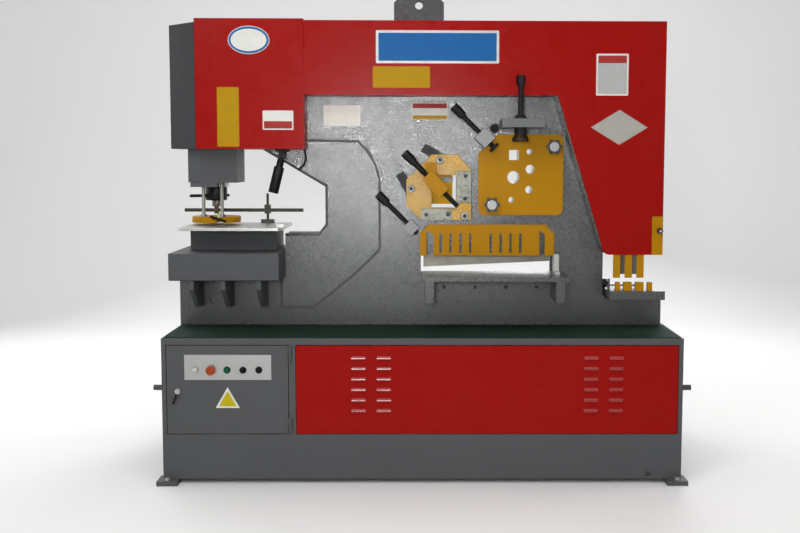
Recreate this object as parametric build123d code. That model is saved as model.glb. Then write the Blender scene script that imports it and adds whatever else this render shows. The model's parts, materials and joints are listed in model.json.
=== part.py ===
from build123d import *
from math import cos, radians, sin
import os

# Hydraulic ironworker, in millimetres. X runs to the right, Y away from the operator and Z up.
# The origin is on the floor, under the middle of the base.

# Base cabinet
base_length = 2250
base_depth = 960
base_height = 636
base_wall = 8
base_deck = 20
front_frame = 25
skirt_height = 197
side_margin = 19
head_margin = 28
post_width = 29
door_width = 528
opening_lip = 14
foot_height = 20
foot_length = 90
foot_width = 100
foot_overhang = 22
foot_reach = 45
transport_pin_radius = 12
transport_pin_reach = 50
transport_pin_height = 409
transport_pin_inset = 70
anchor_radius = 8
anchor_head = 12
drain_radius = 11
drain_inset = 145
mat_thickness = 4
mat_margin = 10

# Sheet-metal doors and panels of the base
sheet = 2.5
door_depth = 20
door_gap = 3
seat_gap = 0.3
knuckle_radius = 7
knuckle_height = 34
knuckle_inset = 40
hinge_pin_radius = 3.5
running_gap = 0.05
latch_inset = 51
latch_height = 387
latch_boss = 12
latch_length = 82
louvre_length = 60
louvre_height = 12
louvre_rise = 9
louvre_pitch = 46
louvre_rows = 6
louvre_top = 56
louvre_columns = (271, 380)

# Controls on the electric door
control_plate_left = 80
control_plate_length = 373
control_plate_height = 109
control_plate_drop = 43
control_plate_thickness = 2
control_drop = 66
control_pitch = 68.5
control_first = 46
operator_radius = 11
collar_radius = 15
collar_height = 4
mushroom_radius = 20
mushroom_travel = 6
button_travel = 4

# Electrical plate and hydraulic power unit inside the cabinet
electric_plate_thickness = 3
electric_plate_setback = 240
contactor_width = 48
contactor_height = 86
contactor_depth = 78
tank_length = 820
tank_depth = 460
tank_height = 290
motor_radius = 92
motor_length = 300
motor_foot = 24
pump_radius = 48
pump_length = 110
bell_radius = 72
bell_length = 80
valve_length = 190
valve_height = 90
valve_depth = 120

# Body frame: two thick plates with a gap for the swinging beam
plate_thickness = 35
plate_gap = 100
top_bar_height = 46
frame_left = -1124
frame_right = 1103
frame_top = 1354
head_right = -848
throat_roof_x = -735
throat_roof = 809
throat_back = -451
throat_back_top = 641
throat_back_low = 469
throat_floor = 426
throat_floor_x = -485
throat_bevel = 12
groove_width = 11
groove_depth = 6
notch_left = 830
notch_roof = 342

# Punch station
punch_x = -965
guide_width = 230
guide_depth = 230
guide_low = 659
guide_high = 1004
guide_bevel = 66
ram_radius = 60
ram_low = 638
punch_stroke = 60
punch_barrel_radius = 105
punch_barrel_height = 320
nut_radius = 50
nut_height = 62
nut_handle_length = 80
punch_radius = 20
punch_tip_radius = 11
punch_length = 62
stripper_radius = 112
stripper_hole = 24
stripper_thickness = 28
stripper_gap = 10
stripper_rod_radius = 8
stripper_rod_spread = 42
stripper_rod_front = 92
stripper_slot_start = 15
stripper_slot_width = 32
lever_radius = 5
hanger_length = 122
hanger_height = 20
hanger_overhang = 97
bolster_left = -1120
bolster_length = 484
bolster_height = 120
bolster_seat = 232
bolster_reach = 250
bolster_back_reach = 150
rib_thickness = 20
rib_height = 133
rib_foot_reach = 110
rib_positions = (88, 227, 384)
holder_left = -1062
holder_length = 392
holder_height = 98
holder_depth = 260
die_radius = 45
die_height = 66
die_hole_radius = 12
slug_radius = 30
table_left = -1084
table_length = 454
table_thickness = 14
table_front = 300
table_back = 160
table_hole_gap = 2
gauge_bar = 16
gauge_rail_left = -1140
gauge_rail_length = 565
gauge_rail_rise = 52
gauge_y = 132
gauge_post_x = -745
gauge_post_radius = 6
gauge_post_height = 140
gauge_foot_length = 60
gauge_foot_depth = 44
gauge_foot_height = 16
stop_length = 36
stop_overhang = 12
recess_x = -970
recess_h = 116
recess_radius = 17
recess_depth = 12

# Lamp over the punch
lamp_x = -637
lamp_y = -150
lamp_drop = 23
lamp_radius = 23
lamp_length = 165
lamp_lean = 14
lamp_cable_radius = 4

# Swinging beam and its cylinder
beam_thickness = 60
pivot_x = -265
pivot_height = 514
pivot_radius = 40
pivot_socket = 20
beam_eye = 95
beam_swing = 4
push_x = 930
push_height = 1004
push_barrel_radius = 92
push_barrel_low = 1064
push_rod_radius = 40
push_rod_length = 175
push_dome = 150
push_bore_spare = 6

# Covers over the beam and the punch head
spine_low = 420
spine_high = 900
spine_setback = 14
spine_end = 60
cover_rise = 22
cover_top = frame_top + cover_rise
head_rise = 7
end_cover_drop = 10
cover_reach = 150
cover_sheet = 3
cover_gap = 0.6
head_cover_left = -1010
head_cover_right = -528
head_cover_low = 812
nose_left = -1150
cover_right = 1075
band_low = 1051
leg_top_x = 590
leg_low_x = 808
leg_low = 342
leg_corner = 30
rail_thickness = 6
lug_left = -136
lug_length = 229
lug_height = 140
lug_thickness = 40
lug_hole_radius = 18
lug_hole_drop = 46
lug_bevel = 34

# Angle shear
angle_plate_thickness = 40
angle_window_x = 38
angle_window_low = 546
angle_window_width = 112
angle_window_height = 150
blade_thickness = 14
corner_thickness = 22
angle_slot = 16
angle_window_rim = 12
angle_plate_left = -78
angle_plate_right = 219
angle_plate_low = 496
angle_plate_high = 790
holder_low_bevel = 64
holder_left_bevel = 116
holder_right_bevel = 62
strap_width = 42
strap_thickness = 18
strap_lean = 30
strap_length = 112
strap_high_end = (-2, 822)
strap_low_end = (-109, 704)
corner_width = 89
corner_height = 77
clamp_length = 112
clamp_width = 62
clamp_depth = 72
clamp_centre_x = 55
clamp_centre_h = 656

# Bar and section cutter
section_x = 442
section_h = 698
section_width = 386
section_height = 366
section_bevel = 90
section_corner = 30
section_plate_thickness = 12
section_block_width = 192
section_block_height = 288
section_block_gap = 1
section_block_split = 8.5
section_boss_radius = 16
section_standoff = 48
star_radius = 36
star_core = 18

# Flat shear
mouth_left = -12
mouth_length = 612
mouth_low = 249
mouth_height = 84
flat_blade_height = 60
flat_blade_thickness = 19.5
upper_blade_rise = 20
upper_blade_rake = 27
blade_clearance = 0.4
guard_left = -16
guard_length = 613
guard_low = 330
guard_height = 142
guard_bevel = 40
guard_thickness = 10
guard_standoff = 55
guard_slot = 12
guard_slot_height = 90
guard_lug_height = 24
guard_lug_length = 30
guard_hooks = ((31, 31), (546, 24))
guard_hook_height = 99
guard_hook_rise = 16
table_top_thickness = 20
shear_table_left = 0
shear_table_length = 652
shear_table_reach = 250
apron_thickness = 20
apron_height = 118
cheek_thickness = 40
cheek_height = 95
gauge_block_left = 593
gauge_block_width = 24
gauge_block_height = 90

# Notcher
notch_table_left = 836
notch_table_length = 252
notch_table_thickness = 40
notch_table_seat = 139
notch_table_reach = 165
notch_punch_left = 900
notch_punch_length = 100
notch_punch_depth = 50
notch_punch_rest = 234
notch_hole_gap = 6
notch_swing_gap = 28
comb_bar = 32
comb_pitch = 53
comb_first = 855
comb_drop = 104
comb_thickness = 8
comb_block_height = 40
side_plate_width = 49
side_plate_height = 173
side_knob_radius = 14
side_knob_core = 5
notch_ear = 10
notch_ear_height = 51
comb_blocks = ((866, 20), (902, 37), (955, 37), (1009, 22))
notch_knob_rise = 31
notch_knob_radius = 20
notch_knob_length = 18

# Hold-down screws
screw_radius = 11
screw_head_radius = 17
screw_head_length = 60
screw_reach = 200
corner_screw_throw = 55
angle_screw_throw = 140
flat_screw_reach = 216
flat_screw_throw = 40
flat_block_x = -56
flat_block_height = 458
flat_block_standoff = 40
corner_block_left = 167
corner_block_rise = 166
holder_bolts = ((75, 764), (-55, 634))
holder_bolt_radius = 17
corner_bolt = (188, 511)
corner_bolt_radius = 19
bolt_height = 10
upright_bolts = ((191, 146), (189, 44))
level_bolts = ((13, -29), (112, -29))
blade_bolt_radius = 9
blade_bolt_height = 5
apron_bolt_first = 97
apron_bolt_pitch = 142
apron_bolt_drop = 48
apron_bolt_radius = 8
apron_bolt_height = 8
bracket_bolt_left = 104
sleeve_radius = 13.5
sleeve_end = 71
slant_pad_radius = 25.5
slant_pad_height = 12
down_pad_radius = 36.5
down_pad_height = 15
down_collar_radius = 26
down_collar_height = 33
bracket_height = 39
bracket_bolt_radius = 21
bracket_bolt_height = 22
screw_y_gap = 7.5
lock_nut_radius = 29
lock_nut_top = 20
lock_nut_height = 16
down_screw_gap = 8

deck = base_height
front = -base_depth / 2
back = base_depth / 2
half_gap = plate_gap / 2
frame_face = half_gap + plate_thickness
half_beam = beam_thickness / 2
cover_face = frame_face + cover_reach


def block(x, y, z):
    """Rectangular block from its low and high value on each axis."""
    middle = Pos((x[0] + x[1]) / 2, (y[0] + y[1]) / 2, (z[0] + z[1]) / 2)
    return middle * Box(x[1] - x[0], y[1] - y[0], z[1] - z[0])


def outline(points, corner=0):
    """Drawn outline with straight sides, its corners rounded where a radius is given."""
    face = make_face(Polyline(*points, close=True))
    return fillet(face.vertices(), corner) if corner else face


def slab(sketch, y_low, y_high):
    """Plate of a drawn outline in X and Z, between two depths."""
    drawing = Plane(origin=(0, y_high, 0), x_dir=(1, 0, 0), z_dir=(0, -1, 0))
    return extrude(drawing * sketch, amount=y_high - y_low)


def bar(start, end, radius):
    """Round bar from one point to another."""
    axis = Vector(*end) - Vector(*start)
    return Solid.make_cylinder(radius, axis.length, Plane(origin=start, z_dir=axis))


def hexagon(start, end, across):
    """Six-sided bar from one point to another, given its width across flats."""
    axis = Vector(*end) - Vector(*start)
    profile = RegularPolygon(across / 2, 6, major_radius=False)
    return extrude(Plane(origin=start, z_dir=axis) * profile, amount=axis.length)


def socket_screw(x, z, y_seat, radius, height):
    """Cap screw that faces the operator, with the hexagon socket of a key."""
    head = bar((x, y_seat, z), (x, y_seat - height, z), radius)
    socket = hexagon((x, y_seat - height, z), (x, y_seat - height / 2, z), radius)
    return head - socket


def mirrored(shape):
    """The same shape on the far side of the machine's middle plane."""
    return mirror(shape, about=Plane.XZ)


def save(name, *shapes):
    """Write one node, as one solid or as a group of separate solids."""
    solids = [solid for shape in shapes for solid in shape.solids()]
    node = solids[0] if len(solids) == 1 else Compound(children=solids)
    export_step(node, f"parts/{name}.step")


# Openings in the front of the base
door_x = (-base_length / 2 + side_margin, -base_length / 2 + side_margin + door_width)
panel_x = (door_x[1] + post_width, base_length / 2 - side_margin)
opening_z = (foot_height + skirt_height, base_height - head_margin)
inside_x = (-base_length / 2 + base_wall, base_length / 2 - base_wall)
inside_y = (front + front_frame, back - base_wall)
inside_z = (foot_height + base_wall, base_height - base_deck)
divider_x = (door_x[1] + post_width / 2 - base_wall / 2, door_x[1] + post_width / 2 + base_wall / 2)
hinge_axis = (door_x[1] + knuckle_radius, front - knuckle_radius)


def shrink(span, amount):
    """A (low, high) pair, made narrower at both ends."""
    return (span[0] + amount, span[1] - amount)


def knuckle(z_low, z_high, leaf):
    """One knuckle of the door hinge, with its leaf to the left or right."""
    x, y = hinge_axis
    barrel = bar((x, y, z_low), (x, y, z_high), knuckle_radius)
    leaf_x = (x - leaf, x) if leaf > 0 else (x, x - leaf)
    return barrel + block(leaf_x, (front - sheet, front), (z_low, z_high))


def hinge_heights():
    """Middle heights of the two door hinges."""
    return (opening_z[0] + knuckle_inset, opening_z[1] - knuckle_inset)


def base_cabinet():
    """Welded cabinet with its deck, divider, feet, transport pins and fixed hinge knuckles."""
    shell = block((-base_length / 2, base_length / 2), (front, back), (foot_height, base_height))
    shell -= block((inside_x[0], divider_x[0]), inside_y, inside_z)
    shell -= block((divider_x[1], inside_x[1]), inside_y, inside_z)
    for span in (door_x, panel_x):
        shell -= block(span, (front, front + door_depth + seat_gap), opening_z)
        shell -= block(shrink(span, opening_lip), (front, inside_y[0]), shrink(opening_z, opening_lip))
    for side in (-1, 1):
        for end in (-1, 1):
            x_outer = side * (base_length / 2 + foot_overhang)
            y_outer = end * (base_depth / 2 + foot_reach)
            foot_x = sorted((x_outer, x_outer - side * foot_length))
            foot_y = sorted((y_outer, y_outer - end * foot_width))
            shell += block(foot_x, foot_y, (0, foot_height))
            pin_y = end * (base_depth / 2 - transport_pin_inset)
            pin_start = (side * (base_length / 2 - base_wall / 2), pin_y, transport_pin_height)
            pin_end = (side * (base_length / 2 + transport_pin_reach), pin_y, transport_pin_height)
            shell += bar(pin_start, pin_end, transport_pin_radius)
            hole = anchor_place(side, end)
            shell -= bar((*hole, 0), (*hole, foot_height), anchor_radius + 1)
    for middle in hinge_heights():
        shell += knuckle(middle - knuckle_height, middle - seat_gap, -knuckle_radius * 1.6)
        x, y = hinge_axis
        shell += bar((x, y, middle - knuckle_height / 2), (x, y, middle + knuckle_height * 0.8),
                     hinge_pin_radius)
    drain = (base_length / 2 - drain_inset, front - 1, foot_height + drain_radius * 1.8)
    shell -= bar(drain, (drain[0], front + 12, drain[2]), drain_radius)
    return shell


def anchor_place(side, end):
    """Middle of one anchor hole, seen from above."""
    x = side * (base_length / 2 + foot_overhang - foot_length / 2)
    return (x, end * (base_depth / 2 + foot_reach / 2))


def anchor_bolts():
    """One bolt in each foot plate."""
    bolts = []
    for side in (-1, 1):
        for end in (-1, 1):
            x, y = anchor_place(side, end)
            head = hexagon((x, y, foot_height), (x, y, foot_height + anchor_head), anchor_radius * 3)
            bolts.append(head + bar((x, y, 1), (x, y, foot_height), anchor_radius))
    return bolts


def deck_mat():
    """Green mat on the deck, in front of and behind the body."""
    x = shrink((-base_length / 2, base_length / 2), mat_margin)
    z = (base_height, base_height + mat_thickness)
    near = block(x, (front + mat_margin, -frame_face - 1), z)
    return [near, mirrored(near)]


def tray(x, z):
    """Folded sheet tray that closes an opening, flush with the front of the base."""
    outer_x = shrink(x, door_gap)
    outer_z = shrink(z, door_gap)
    body = block(outer_x, (front, front + door_depth), outer_z)
    hollow = block(shrink(outer_x, sheet), (front + sheet, front + door_depth), shrink(outer_z, sheet))
    return body - hollow


def control_places():
    """Middles of the five controls, from left to right."""
    left = door_x[0] + control_plate_left + control_first
    height = opening_z[1] - control_plate_drop - control_drop
    return [(left + count * control_pitch, height) for count in range(5)]


def electric_door():
    """Door of the electrical compartment, with its hinge knuckles."""
    door = tray(door_x, opening_z)
    for x, z in control_places():
        door -= bar((x, front - 1, z), (x, front + sheet + 1, z), operator_radius)
    lock = (door_x[0] + latch_inset, opening_z[0] + latch_height - skirt_height)
    door -= bar((lock[0], front - 1, lock[1]), (lock[0], front + sheet + 1, lock[1]), latch_boss / 2)
    for middle in hinge_heights():
        moving = knuckle(middle + seat_gap, middle + knuckle_height, knuckle_radius * 3)
        x, y = hinge_axis
        door += moving
        door -= bar((x, y, middle), (x, y, middle + knuckle_height), hinge_pin_radius + running_gap)
    return door


def door_latch():
    """Turning key lever of the electric door, on its round boss."""
    x = door_x[0] + latch_inset
    z = opening_z[0] + latch_height - skirt_height
    boss = bar((x, front - 10, z), (x, front - seat_gap, z), latch_boss)
    stem = bar((x, front - 10, z), (x, front + door_depth, z), latch_boss / 2 - running_gap)
    lean = radians(20)
    end = (x - latch_length * sin(lean), front - 14, z - latch_length * cos(lean))
    lever = bar((x, front - 14, z), end, 4)
    grip = bar((x - latch_length * 0.7 * sin(lean), front - 14, z - latch_length * 0.7 * cos(lean)),
               (end[0], end[1], end[2]), 6.5)
    cap = bar((x, front - 19, z), (x, front - 9, z), latch_boss * 0.8)
    return boss + stem + cap + lever + grip


def control_plate():
    """Bare metal plate with the collars of the five controls."""
    left = door_x[0] + control_plate_left
    top = opening_z[1] - control_plate_drop
    face = front - control_plate_thickness
    plate = block((left, left + control_plate_length), (face, front), (top - control_plate_height, top))
    for x, z in control_places():
        plate += bar((x, face - collar_height, z), (x, face, z), collar_radius)
        plate -= bar((x, face - collar_height - 1, z), (x, front + 1, z), operator_radius)
    return plate


def operator(place, proud, cap_radius, cap_length):
    """Pushed or turned control: a cap in front of its collar and a stem through the door."""
    x, z = place
    collar_face = front - control_plate_thickness - collar_height
    stem = bar((x, collar_face - proud, z), (x, front + door_depth * 1.6, z),
               operator_radius - running_gap)
    cap_start = (x, collar_face - proud - cap_length, z)
    return stem + bar(cap_start, (x, collar_face - proud, z), cap_radius)


def signal_lamp():
    """Clear pilot lamp with a domed lens."""
    x, z = control_places()[0]
    body = operator((x, z), seat_gap, operator_radius + 2, 5)
    dome = Pos(x, front - control_plate_thickness - collar_height - 5, z) * Sphere(operator_radius)
    keep = block((x - 20, x + 20), (front - 60, front - control_plate_thickness), (z - 20, z + 20))
    return body + (dome & keep)


def emergency_stop():
    """Mushroom head that is pushed in."""
    head = operator(control_places()[1], mushroom_travel + 1, mushroom_radius, 12)
    rim = head.edges().filter_by(GeomType.CIRCLE).sort_by(Axis.Y)[0]
    return fillet(rim, 5)


def start_button():
    """Flush push button."""
    head = operator(control_places()[2], button_travel + 1, operator_radius - running_gap, 3)
    rim = head.edges().filter_by(GeomType.CIRCLE).sort_by(Axis.Y)[0]
    return fillet(rim, 1.5)


def selector(number):
    """Turning switch with a raised finger bar."""
    x, z = control_places()[number]
    body = operator((x, z), seat_gap, operator_radius + 2, 6)
    face = front - control_plate_thickness - collar_height - seat_gap - 6
    return body + block((x - 4, x + 4), (face - 9, face), (z - operator_radius, z + operator_radius))


def louvre(x, z):
    """Pressed louvre hood, open below."""
    half = louvre_length / 2
    y = front
    side = make_face(Polyline((y, 0), (y - louvre_rise, -louvre_height),
                              (y - louvre_rise + sheet, -louvre_height), (y, -sheet), close=True))
    drawing = Plane(origin=(x - half, 0, z), x_dir=(0, 1, 0), z_dir=(1, 0, 0))
    return extrude(drawing * side, amount=louvre_length)


def louvre_places():
    """Top middles of all louvres, in four columns."""
    left = [panel_x[0] + column for column in louvre_columns]
    right = [panel_x[0] + panel_x[1] - x for x in left]
    top = opening_z[1] - louvre_top + louvre_height / 2
    return [(x, top - row * louvre_pitch) for x in left + right for row in range(louvre_rows)]


def hydraulic_panel():
    """Louvred front panel of the hydraulic compartment."""
    panel = tray(panel_x, opening_z)
    for x, z in louvre_places():
        panel -= block((x - louvre_length / 2, x + louvre_length / 2), (front - 1, front + sheet + 1),
                       (z - louvre_height, z - sheet))
        panel += louvre(x, z)
    return panel


def electric_plate():
    """Mounting plate inside the electrical compartment, from its wall to the divider."""
    y = front + electric_plate_setback
    return block((inside_x[0], divider_x[0]), (y, y + electric_plate_thickness),
                 (inside_z[0], inside_z[1] - 60))


def contactors():
    """Contactors, transformer and terminal rail on the mounting plate."""
    y = front + electric_plate_setback
    left = inside_x[0] + 60
    pieces = []
    for count in range(3):
        x = left + count * (contactor_width + 12)
        pieces.append(block((x, x + contactor_width), (y - contactor_depth, y),
                            (inside_z[1] - 220, inside_z[1] - 220 + contactor_height)))
    pieces.append(block((left + 230, left + 340), (y - 90, y), (inside_z[1] - 230, inside_z[1] - 120)))
    rail = block((left, left + 340), (y - 45, y), (inside_z[0] + 90, inside_z[0] + 135))
    pieces.append(rail)
    return pieces


tank_x = (inside_x[1] - 60 - tank_length, inside_x[1] - 60)
tank_y = (-tank_depth / 2, tank_depth / 2)
tank_top = inside_z[0] + tank_height
motor_axis_z = tank_top + motor_foot + motor_radius
motor_x = (tank_x[0] + 60, tank_x[0] + 60 + motor_length)
bell_x = (motor_x[1], motor_x[1] + bell_length)
pump_x = (bell_x[1], bell_x[1] + pump_length)
valve_x = (pump_x[1] + 60, pump_x[1] + 60 + valve_length)


def oil_tank():
    """Closed oil tank with a filler neck."""
    tank = block(tank_x, tank_y, (inside_z[0], tank_top))
    tank = fillet(tank.edges().filter_by(Axis.Z), 18)
    neck = (tank_x[1] - 70, tank_y[0] + 70)
    return tank + bar((*neck, tank_top), (*neck, tank_top + 40), 34)


def pump_motor():
    """Electric motor with its foot, fan cowl and terminal box."""
    body = bar((motor_x[0], 0, motor_axis_z), (motor_x[1], 0, motor_axis_z), motor_radius)
    for angle in range(30, 360, 30):
        fin = block(shrink(motor_x, 40), (-3, 3), (motor_axis_z, motor_axis_z + motor_radius + 9))
        turned = Pos(0, 0, motor_axis_z) * Rot(angle, 0, 0) * Pos(0, 0, -motor_axis_z) * fin
        body += turned if abs(angle - 180) > 60 else Part()
    foot = block(shrink(motor_x, 40), (-motor_radius * 0.8, motor_radius * 0.8),
                 (tank_top, motor_axis_z - motor_radius * 0.5))
    return body + foot


def oil_pump():
    """Gear pump on its bell housing."""
    bell = bar((bell_x[0], 0, motor_axis_z), (bell_x[1], 0, motor_axis_z), bell_radius)
    pump = bar((pump_x[0], 0, motor_axis_z), (pump_x[1], 0, motor_axis_z), pump_radius)
    return bell + pump


def valve_block():
    """Valve manifold on the tank, with two solenoids and the pressure pipe."""
    manifold = block(valve_x, (-valve_depth / 2, valve_depth / 2), (tank_top, tank_top + valve_height))
    pieces = manifold
    for count in (0.27, 0.73):
        x = valve_x[0] + count * valve_length
        pieces += block((x - 26, x + 26), (-valve_depth / 2 - 50, valve_depth / 2),
                        (tank_top + valve_height, tank_top + valve_height + 50))
    pipe_z = tank_top + valve_height / 2
    pipe = bar((pump_x[1] - pump_radius, 0, pipe_z), (valve_x[0], 0, pipe_z), 9)
    riser = bar((pump_x[1] - pump_radius, 0, pipe_z),
                (pump_x[1] - pump_radius, 0, motor_axis_z - pump_radius), 9)
    return pieces + pipe + riser


# Body frame
plate_front_y = (-frame_face, -half_gap)
plate_back_y = (half_gap, frame_face)
between_y = (-half_gap, half_gap)
bolster_x = (bolster_left, bolster_left + bolster_length)
bolster_top = deck + bolster_seat + bolster_height
notch_seat = deck + notch_table_seat


def frame_outline():
    """Side view of a frame plate: punch throat at the left, notcher gap at the right."""
    return outline([
        (frame_left, deck),
        (frame_left, deck + bolster_seat),
        (bolster_x[1], deck + bolster_seat),
        (bolster_x[1], deck + throat_floor),
        (throat_floor_x, deck + throat_floor),
        (throat_back, deck + throat_back_low),
        (throat_back, deck + throat_back_top),
        (throat_roof_x, deck + throat_roof),
        (head_right, deck + throat_roof + 60),
        (head_right, deck + frame_top),
        (cover_right - 15, deck + frame_top),
        (cover_right - 15, deck + notch_roof),
        (notch_left, deck + notch_roof),
        (notch_left, notch_seat),
        (frame_right, notch_seat),
        (frame_right, deck),
    ])


def section_span(width, height, middle=(section_x, section_h)):
    """X and Z spans about the middle of the section cutter."""
    x, h = middle
    return (x - width / 2, x + width / 2), (deck + h - height / 2, deck + h + height / 2)


def push_window():
    """Gap in the plates that the shear cylinder stands in."""
    half = push_barrel_radius + 2
    return (push_x - half, push_x + half), (deck + push_barrel_low - 2, deck + frame_top - top_bar_height)


def groove_path():
    """Weld groove round the punch throat of the front plate."""
    start = Polyline((head_cover_right - 30, deck + 853), (-302, deck + 848))
    bend = ThreePointArc((-302, deck + 848), (-225, deck + 752), (-201, deck + 630))
    fall = Polyline((-201, deck + 630), (-201, deck + 351), (-315, deck + 240), (-502, deck + 83),
                    (bolster_x[1] - 20, deck + 83), (bolster_x[1] - 20, deck + bolster_seat))
    return [start, bend, fall]


def frame_plate_front():
    """Front plate, with windows for the angle shear, section cutter and flat shear."""
    plate = slab(frame_outline(), *plate_front_y)
    for piece in groove_path():
        cut = trace(piece, line_width=groove_width)
        plate -= slab(cut, plate_front_y[0], plate_front_y[0] + groove_depth)
    plate -= block(*angle_window(plate_front_y))
    x, z = section_span(section_block_width, section_block_height)
    plate -= block(x, plate_front_y, z)
    plate -= block((mouth_left, mouth_left + mouth_length), plate_front_y,
                   (deck + mouth_low, deck + mouth_low + mouth_height))
    x, z = push_window()
    plate -= block(x, plate_front_y, z)
    plate -= bar((pivot_x, -half_gap - pivot_socket, deck + pivot_height),
                 (pivot_x, 0, deck + pivot_height), pivot_radius + running_gap)
    plate -= bar((recess_x, -frame_face, deck + recess_h),
                 (recess_x, -frame_face + recess_depth, deck + recess_h), recess_radius)
    return chamfer(throat_edges(plate), throat_bevel)


def throat_edges(plate):
    """Front edges of the punch throat, from its floor to its roof."""
    corners = [(bolster_x[1], deck + throat_floor), (throat_floor_x, deck + throat_floor),
               (throat_back, deck + throat_back_low), (throat_back, deck + throat_back_top),
               (throat_roof_x, deck + throat_roof)]
    middles = [((a[0] + b[0]) / 2, (a[1] + b[1]) / 2) for a, b in zip(corners, corners[1:])]
    edges = []
    for x, z in middles:
        point = Vector(x, -frame_face, z)
        edges.append(min(plate.edges(), key=lambda edge: (edge.center() - point).length))
    return edges


def angle_window(y):
    """Opening of the angle shear, as spans on the three axes."""
    x = (angle_window_x, angle_window_x + angle_window_width)
    z = (deck + angle_window_low, deck + angle_window_low + angle_window_height)
    return x, y, z


def frame_plate_back():
    """Rear plate, with larger windows that the cut pieces leave by."""
    plate = slab(frame_outline(), *plate_back_y)
    x, y, z = angle_window(plate_back_y)
    plate -= block(shrink(x, -30), y, (z[0] - 70, z[1] + 30))
    x, z = section_span(section_block_width, section_block_height)
    plate -= block(x, plate_back_y, (z[0] - 60, z[1]))
    plate -= block((mouth_left, mouth_left + mouth_length), plate_back_y,
                   (deck + 80, deck + mouth_low + mouth_height))
    x, z = push_window()
    plate -= block(x, plate_back_y, z)
    plate -= bar((pivot_x, 0, deck + pivot_height),
                 (pivot_x, half_gap + pivot_socket, deck + pivot_height), pivot_radius + running_gap)
    return plate


def frame_spacers():
    """Bars welded between the two plates."""
    top = deck + frame_top
    return [
        block((frame_left + 20, frame_right - 20), between_y, (deck, deck + 45)),
        block((frame_left + 10, frame_left + 70), between_y, (deck + 45, deck + bolster_seat)),
        block((throat_back + spine_setback, throat_back + spine_end), between_y,
              (deck + spine_low, deck + spine_high)),
        block((head_right + 20, cover_right - 40), between_y, (top - top_bar_height, top)),
        block((push_x + push_barrel_radius + 6, cover_right - 20), between_y,
              (deck + 460, top - top_bar_height)),
    ]


def cover_rails():
    """Strips welded to the plates that carry the covers."""
    front_y = (-cover_face + cover_sheet, -frame_face)
    foot = leg_low + leg_corner + rail_thickness
    foot_x = leg_low_x + (leg_top_x - leg_low_x) * (foot - leg_low) / (band_low - leg_low)
    leg = outline([
        (leg_top_x, deck + band_low), (leg_top_x + rail_thickness, deck + band_low),
        (foot_x + rail_thickness, deck + foot), (foot_x, deck + foot)])
    band = block((head_cover_right + cover_sheet, leg_top_x), front_y,
                 (deck + band_low + cover_sheet, deck + band_low + cover_sheet + rail_thickness))
    side = block((cover_right - 15 - rail_thickness, cover_right - 15), front_y,
                 (deck + leg_low + 10, deck + frame_top - 20))
    head = block((head_right + 5, head_right + 5 + rail_thickness), front_y,
                 (deck + head_cover_low + 40, deck + frame_top - 20))
    rails = [slab(leg, *front_y), band, side, head]
    return rails + [mirrored(rail) for rail in rails]


def lifting_lug():
    """Lifting plate that stands on the top spacer and rises through the covers."""
    foot = deck + frame_top
    top = deck + cover_top + lug_height
    right = lug_left + lug_length
    lug = outline([(lug_left, foot), (lug_left, top - lug_bevel), (lug_left + lug_bevel, top),
                   (right - lug_bevel, top), (right, top - lug_bevel), (right, foot)])
    solid = slab(lug, -lug_thickness / 2, lug_thickness / 2)
    x, z = lug_hole()
    return solid - bar((x, -lug_thickness, z), (x, lug_thickness, z), lug_hole_radius)


def lug_hole():
    """Middle of the lifting hole."""
    return lug_left + lug_length / 2, deck + cover_top + lug_height - lug_hole_drop


# Punch station
ram_end = deck + ram_low
nut_end = ram_end - nut_height
table_top = bolster_top + holder_height + table_thickness
stripper_z = (table_top + stripper_gap, table_top + stripper_gap + stripper_thickness)


def ram_guide():
    """Guide box under the punch head, with the tongue that holds it between the plates."""
    left = punch_x - guide_width / 2
    right = punch_x + guide_width / 2
    half = guide_depth / 2
    bevel = guide_bevel
    section = outline([(left, -half + bevel * 0.7), (left + bevel, -half), (right, -half),
                       (right, half), (left + bevel, half), (left, half - bevel * 0.7)])
    box = Pos(0, 0, deck + guide_low) * extrude(section, amount=guide_high - guide_low)
    tongue = block((right, right + 70), between_y, (deck + guide_low + 190, deck + guide_high))
    hanger = block((punch_x - hanger_overhang, punch_x - hanger_overhang + hanger_length),
                   (-half, -ram_radius - 3), (deck + guide_low - hanger_height, deck + guide_low))
    box = box + tongue + hanger
    box -= bar((punch_x, 0, deck + guide_low - hanger_height), (punch_x, 0, deck + guide_high),
               ram_radius + running_gap)
    for x in stripper_rod_places():
        box -= bar((x, -stripper_rod_front, deck + guide_low - hanger_height),
                   (x, -stripper_rod_front, deck + guide_low + 60), stripper_rod_radius + running_gap)
    return box


def stripper_rod_places():
    """X of the two rods that carry the stripper."""
    return (punch_x - stripper_rod_spread, punch_x + stripper_rod_spread)


def punch_cylinder():
    """Barrel of the punch cylinder with its end cap and oil port."""
    foot = deck + guide_high
    barrel = bar((punch_x, 0, foot), (punch_x, 0, foot + punch_barrel_height), punch_barrel_radius)
    cap = bar((punch_x, 0, foot + punch_barrel_height),
              (punch_x, 0, foot + punch_barrel_height + 24), punch_barrel_radius - 12)
    port = bar((punch_x, 0, foot + punch_barrel_height - 40),
               (punch_x + punch_barrel_radius + 25, 0, foot + punch_barrel_height - 40), 16)
    return barrel + cap + port


def punch_ram():
    """Ram of the punch, a plain round bar in its guide."""
    return bar((punch_x, 0, ram_end), (punch_x, 0, deck + guide_high - 2), ram_radius)


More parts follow.
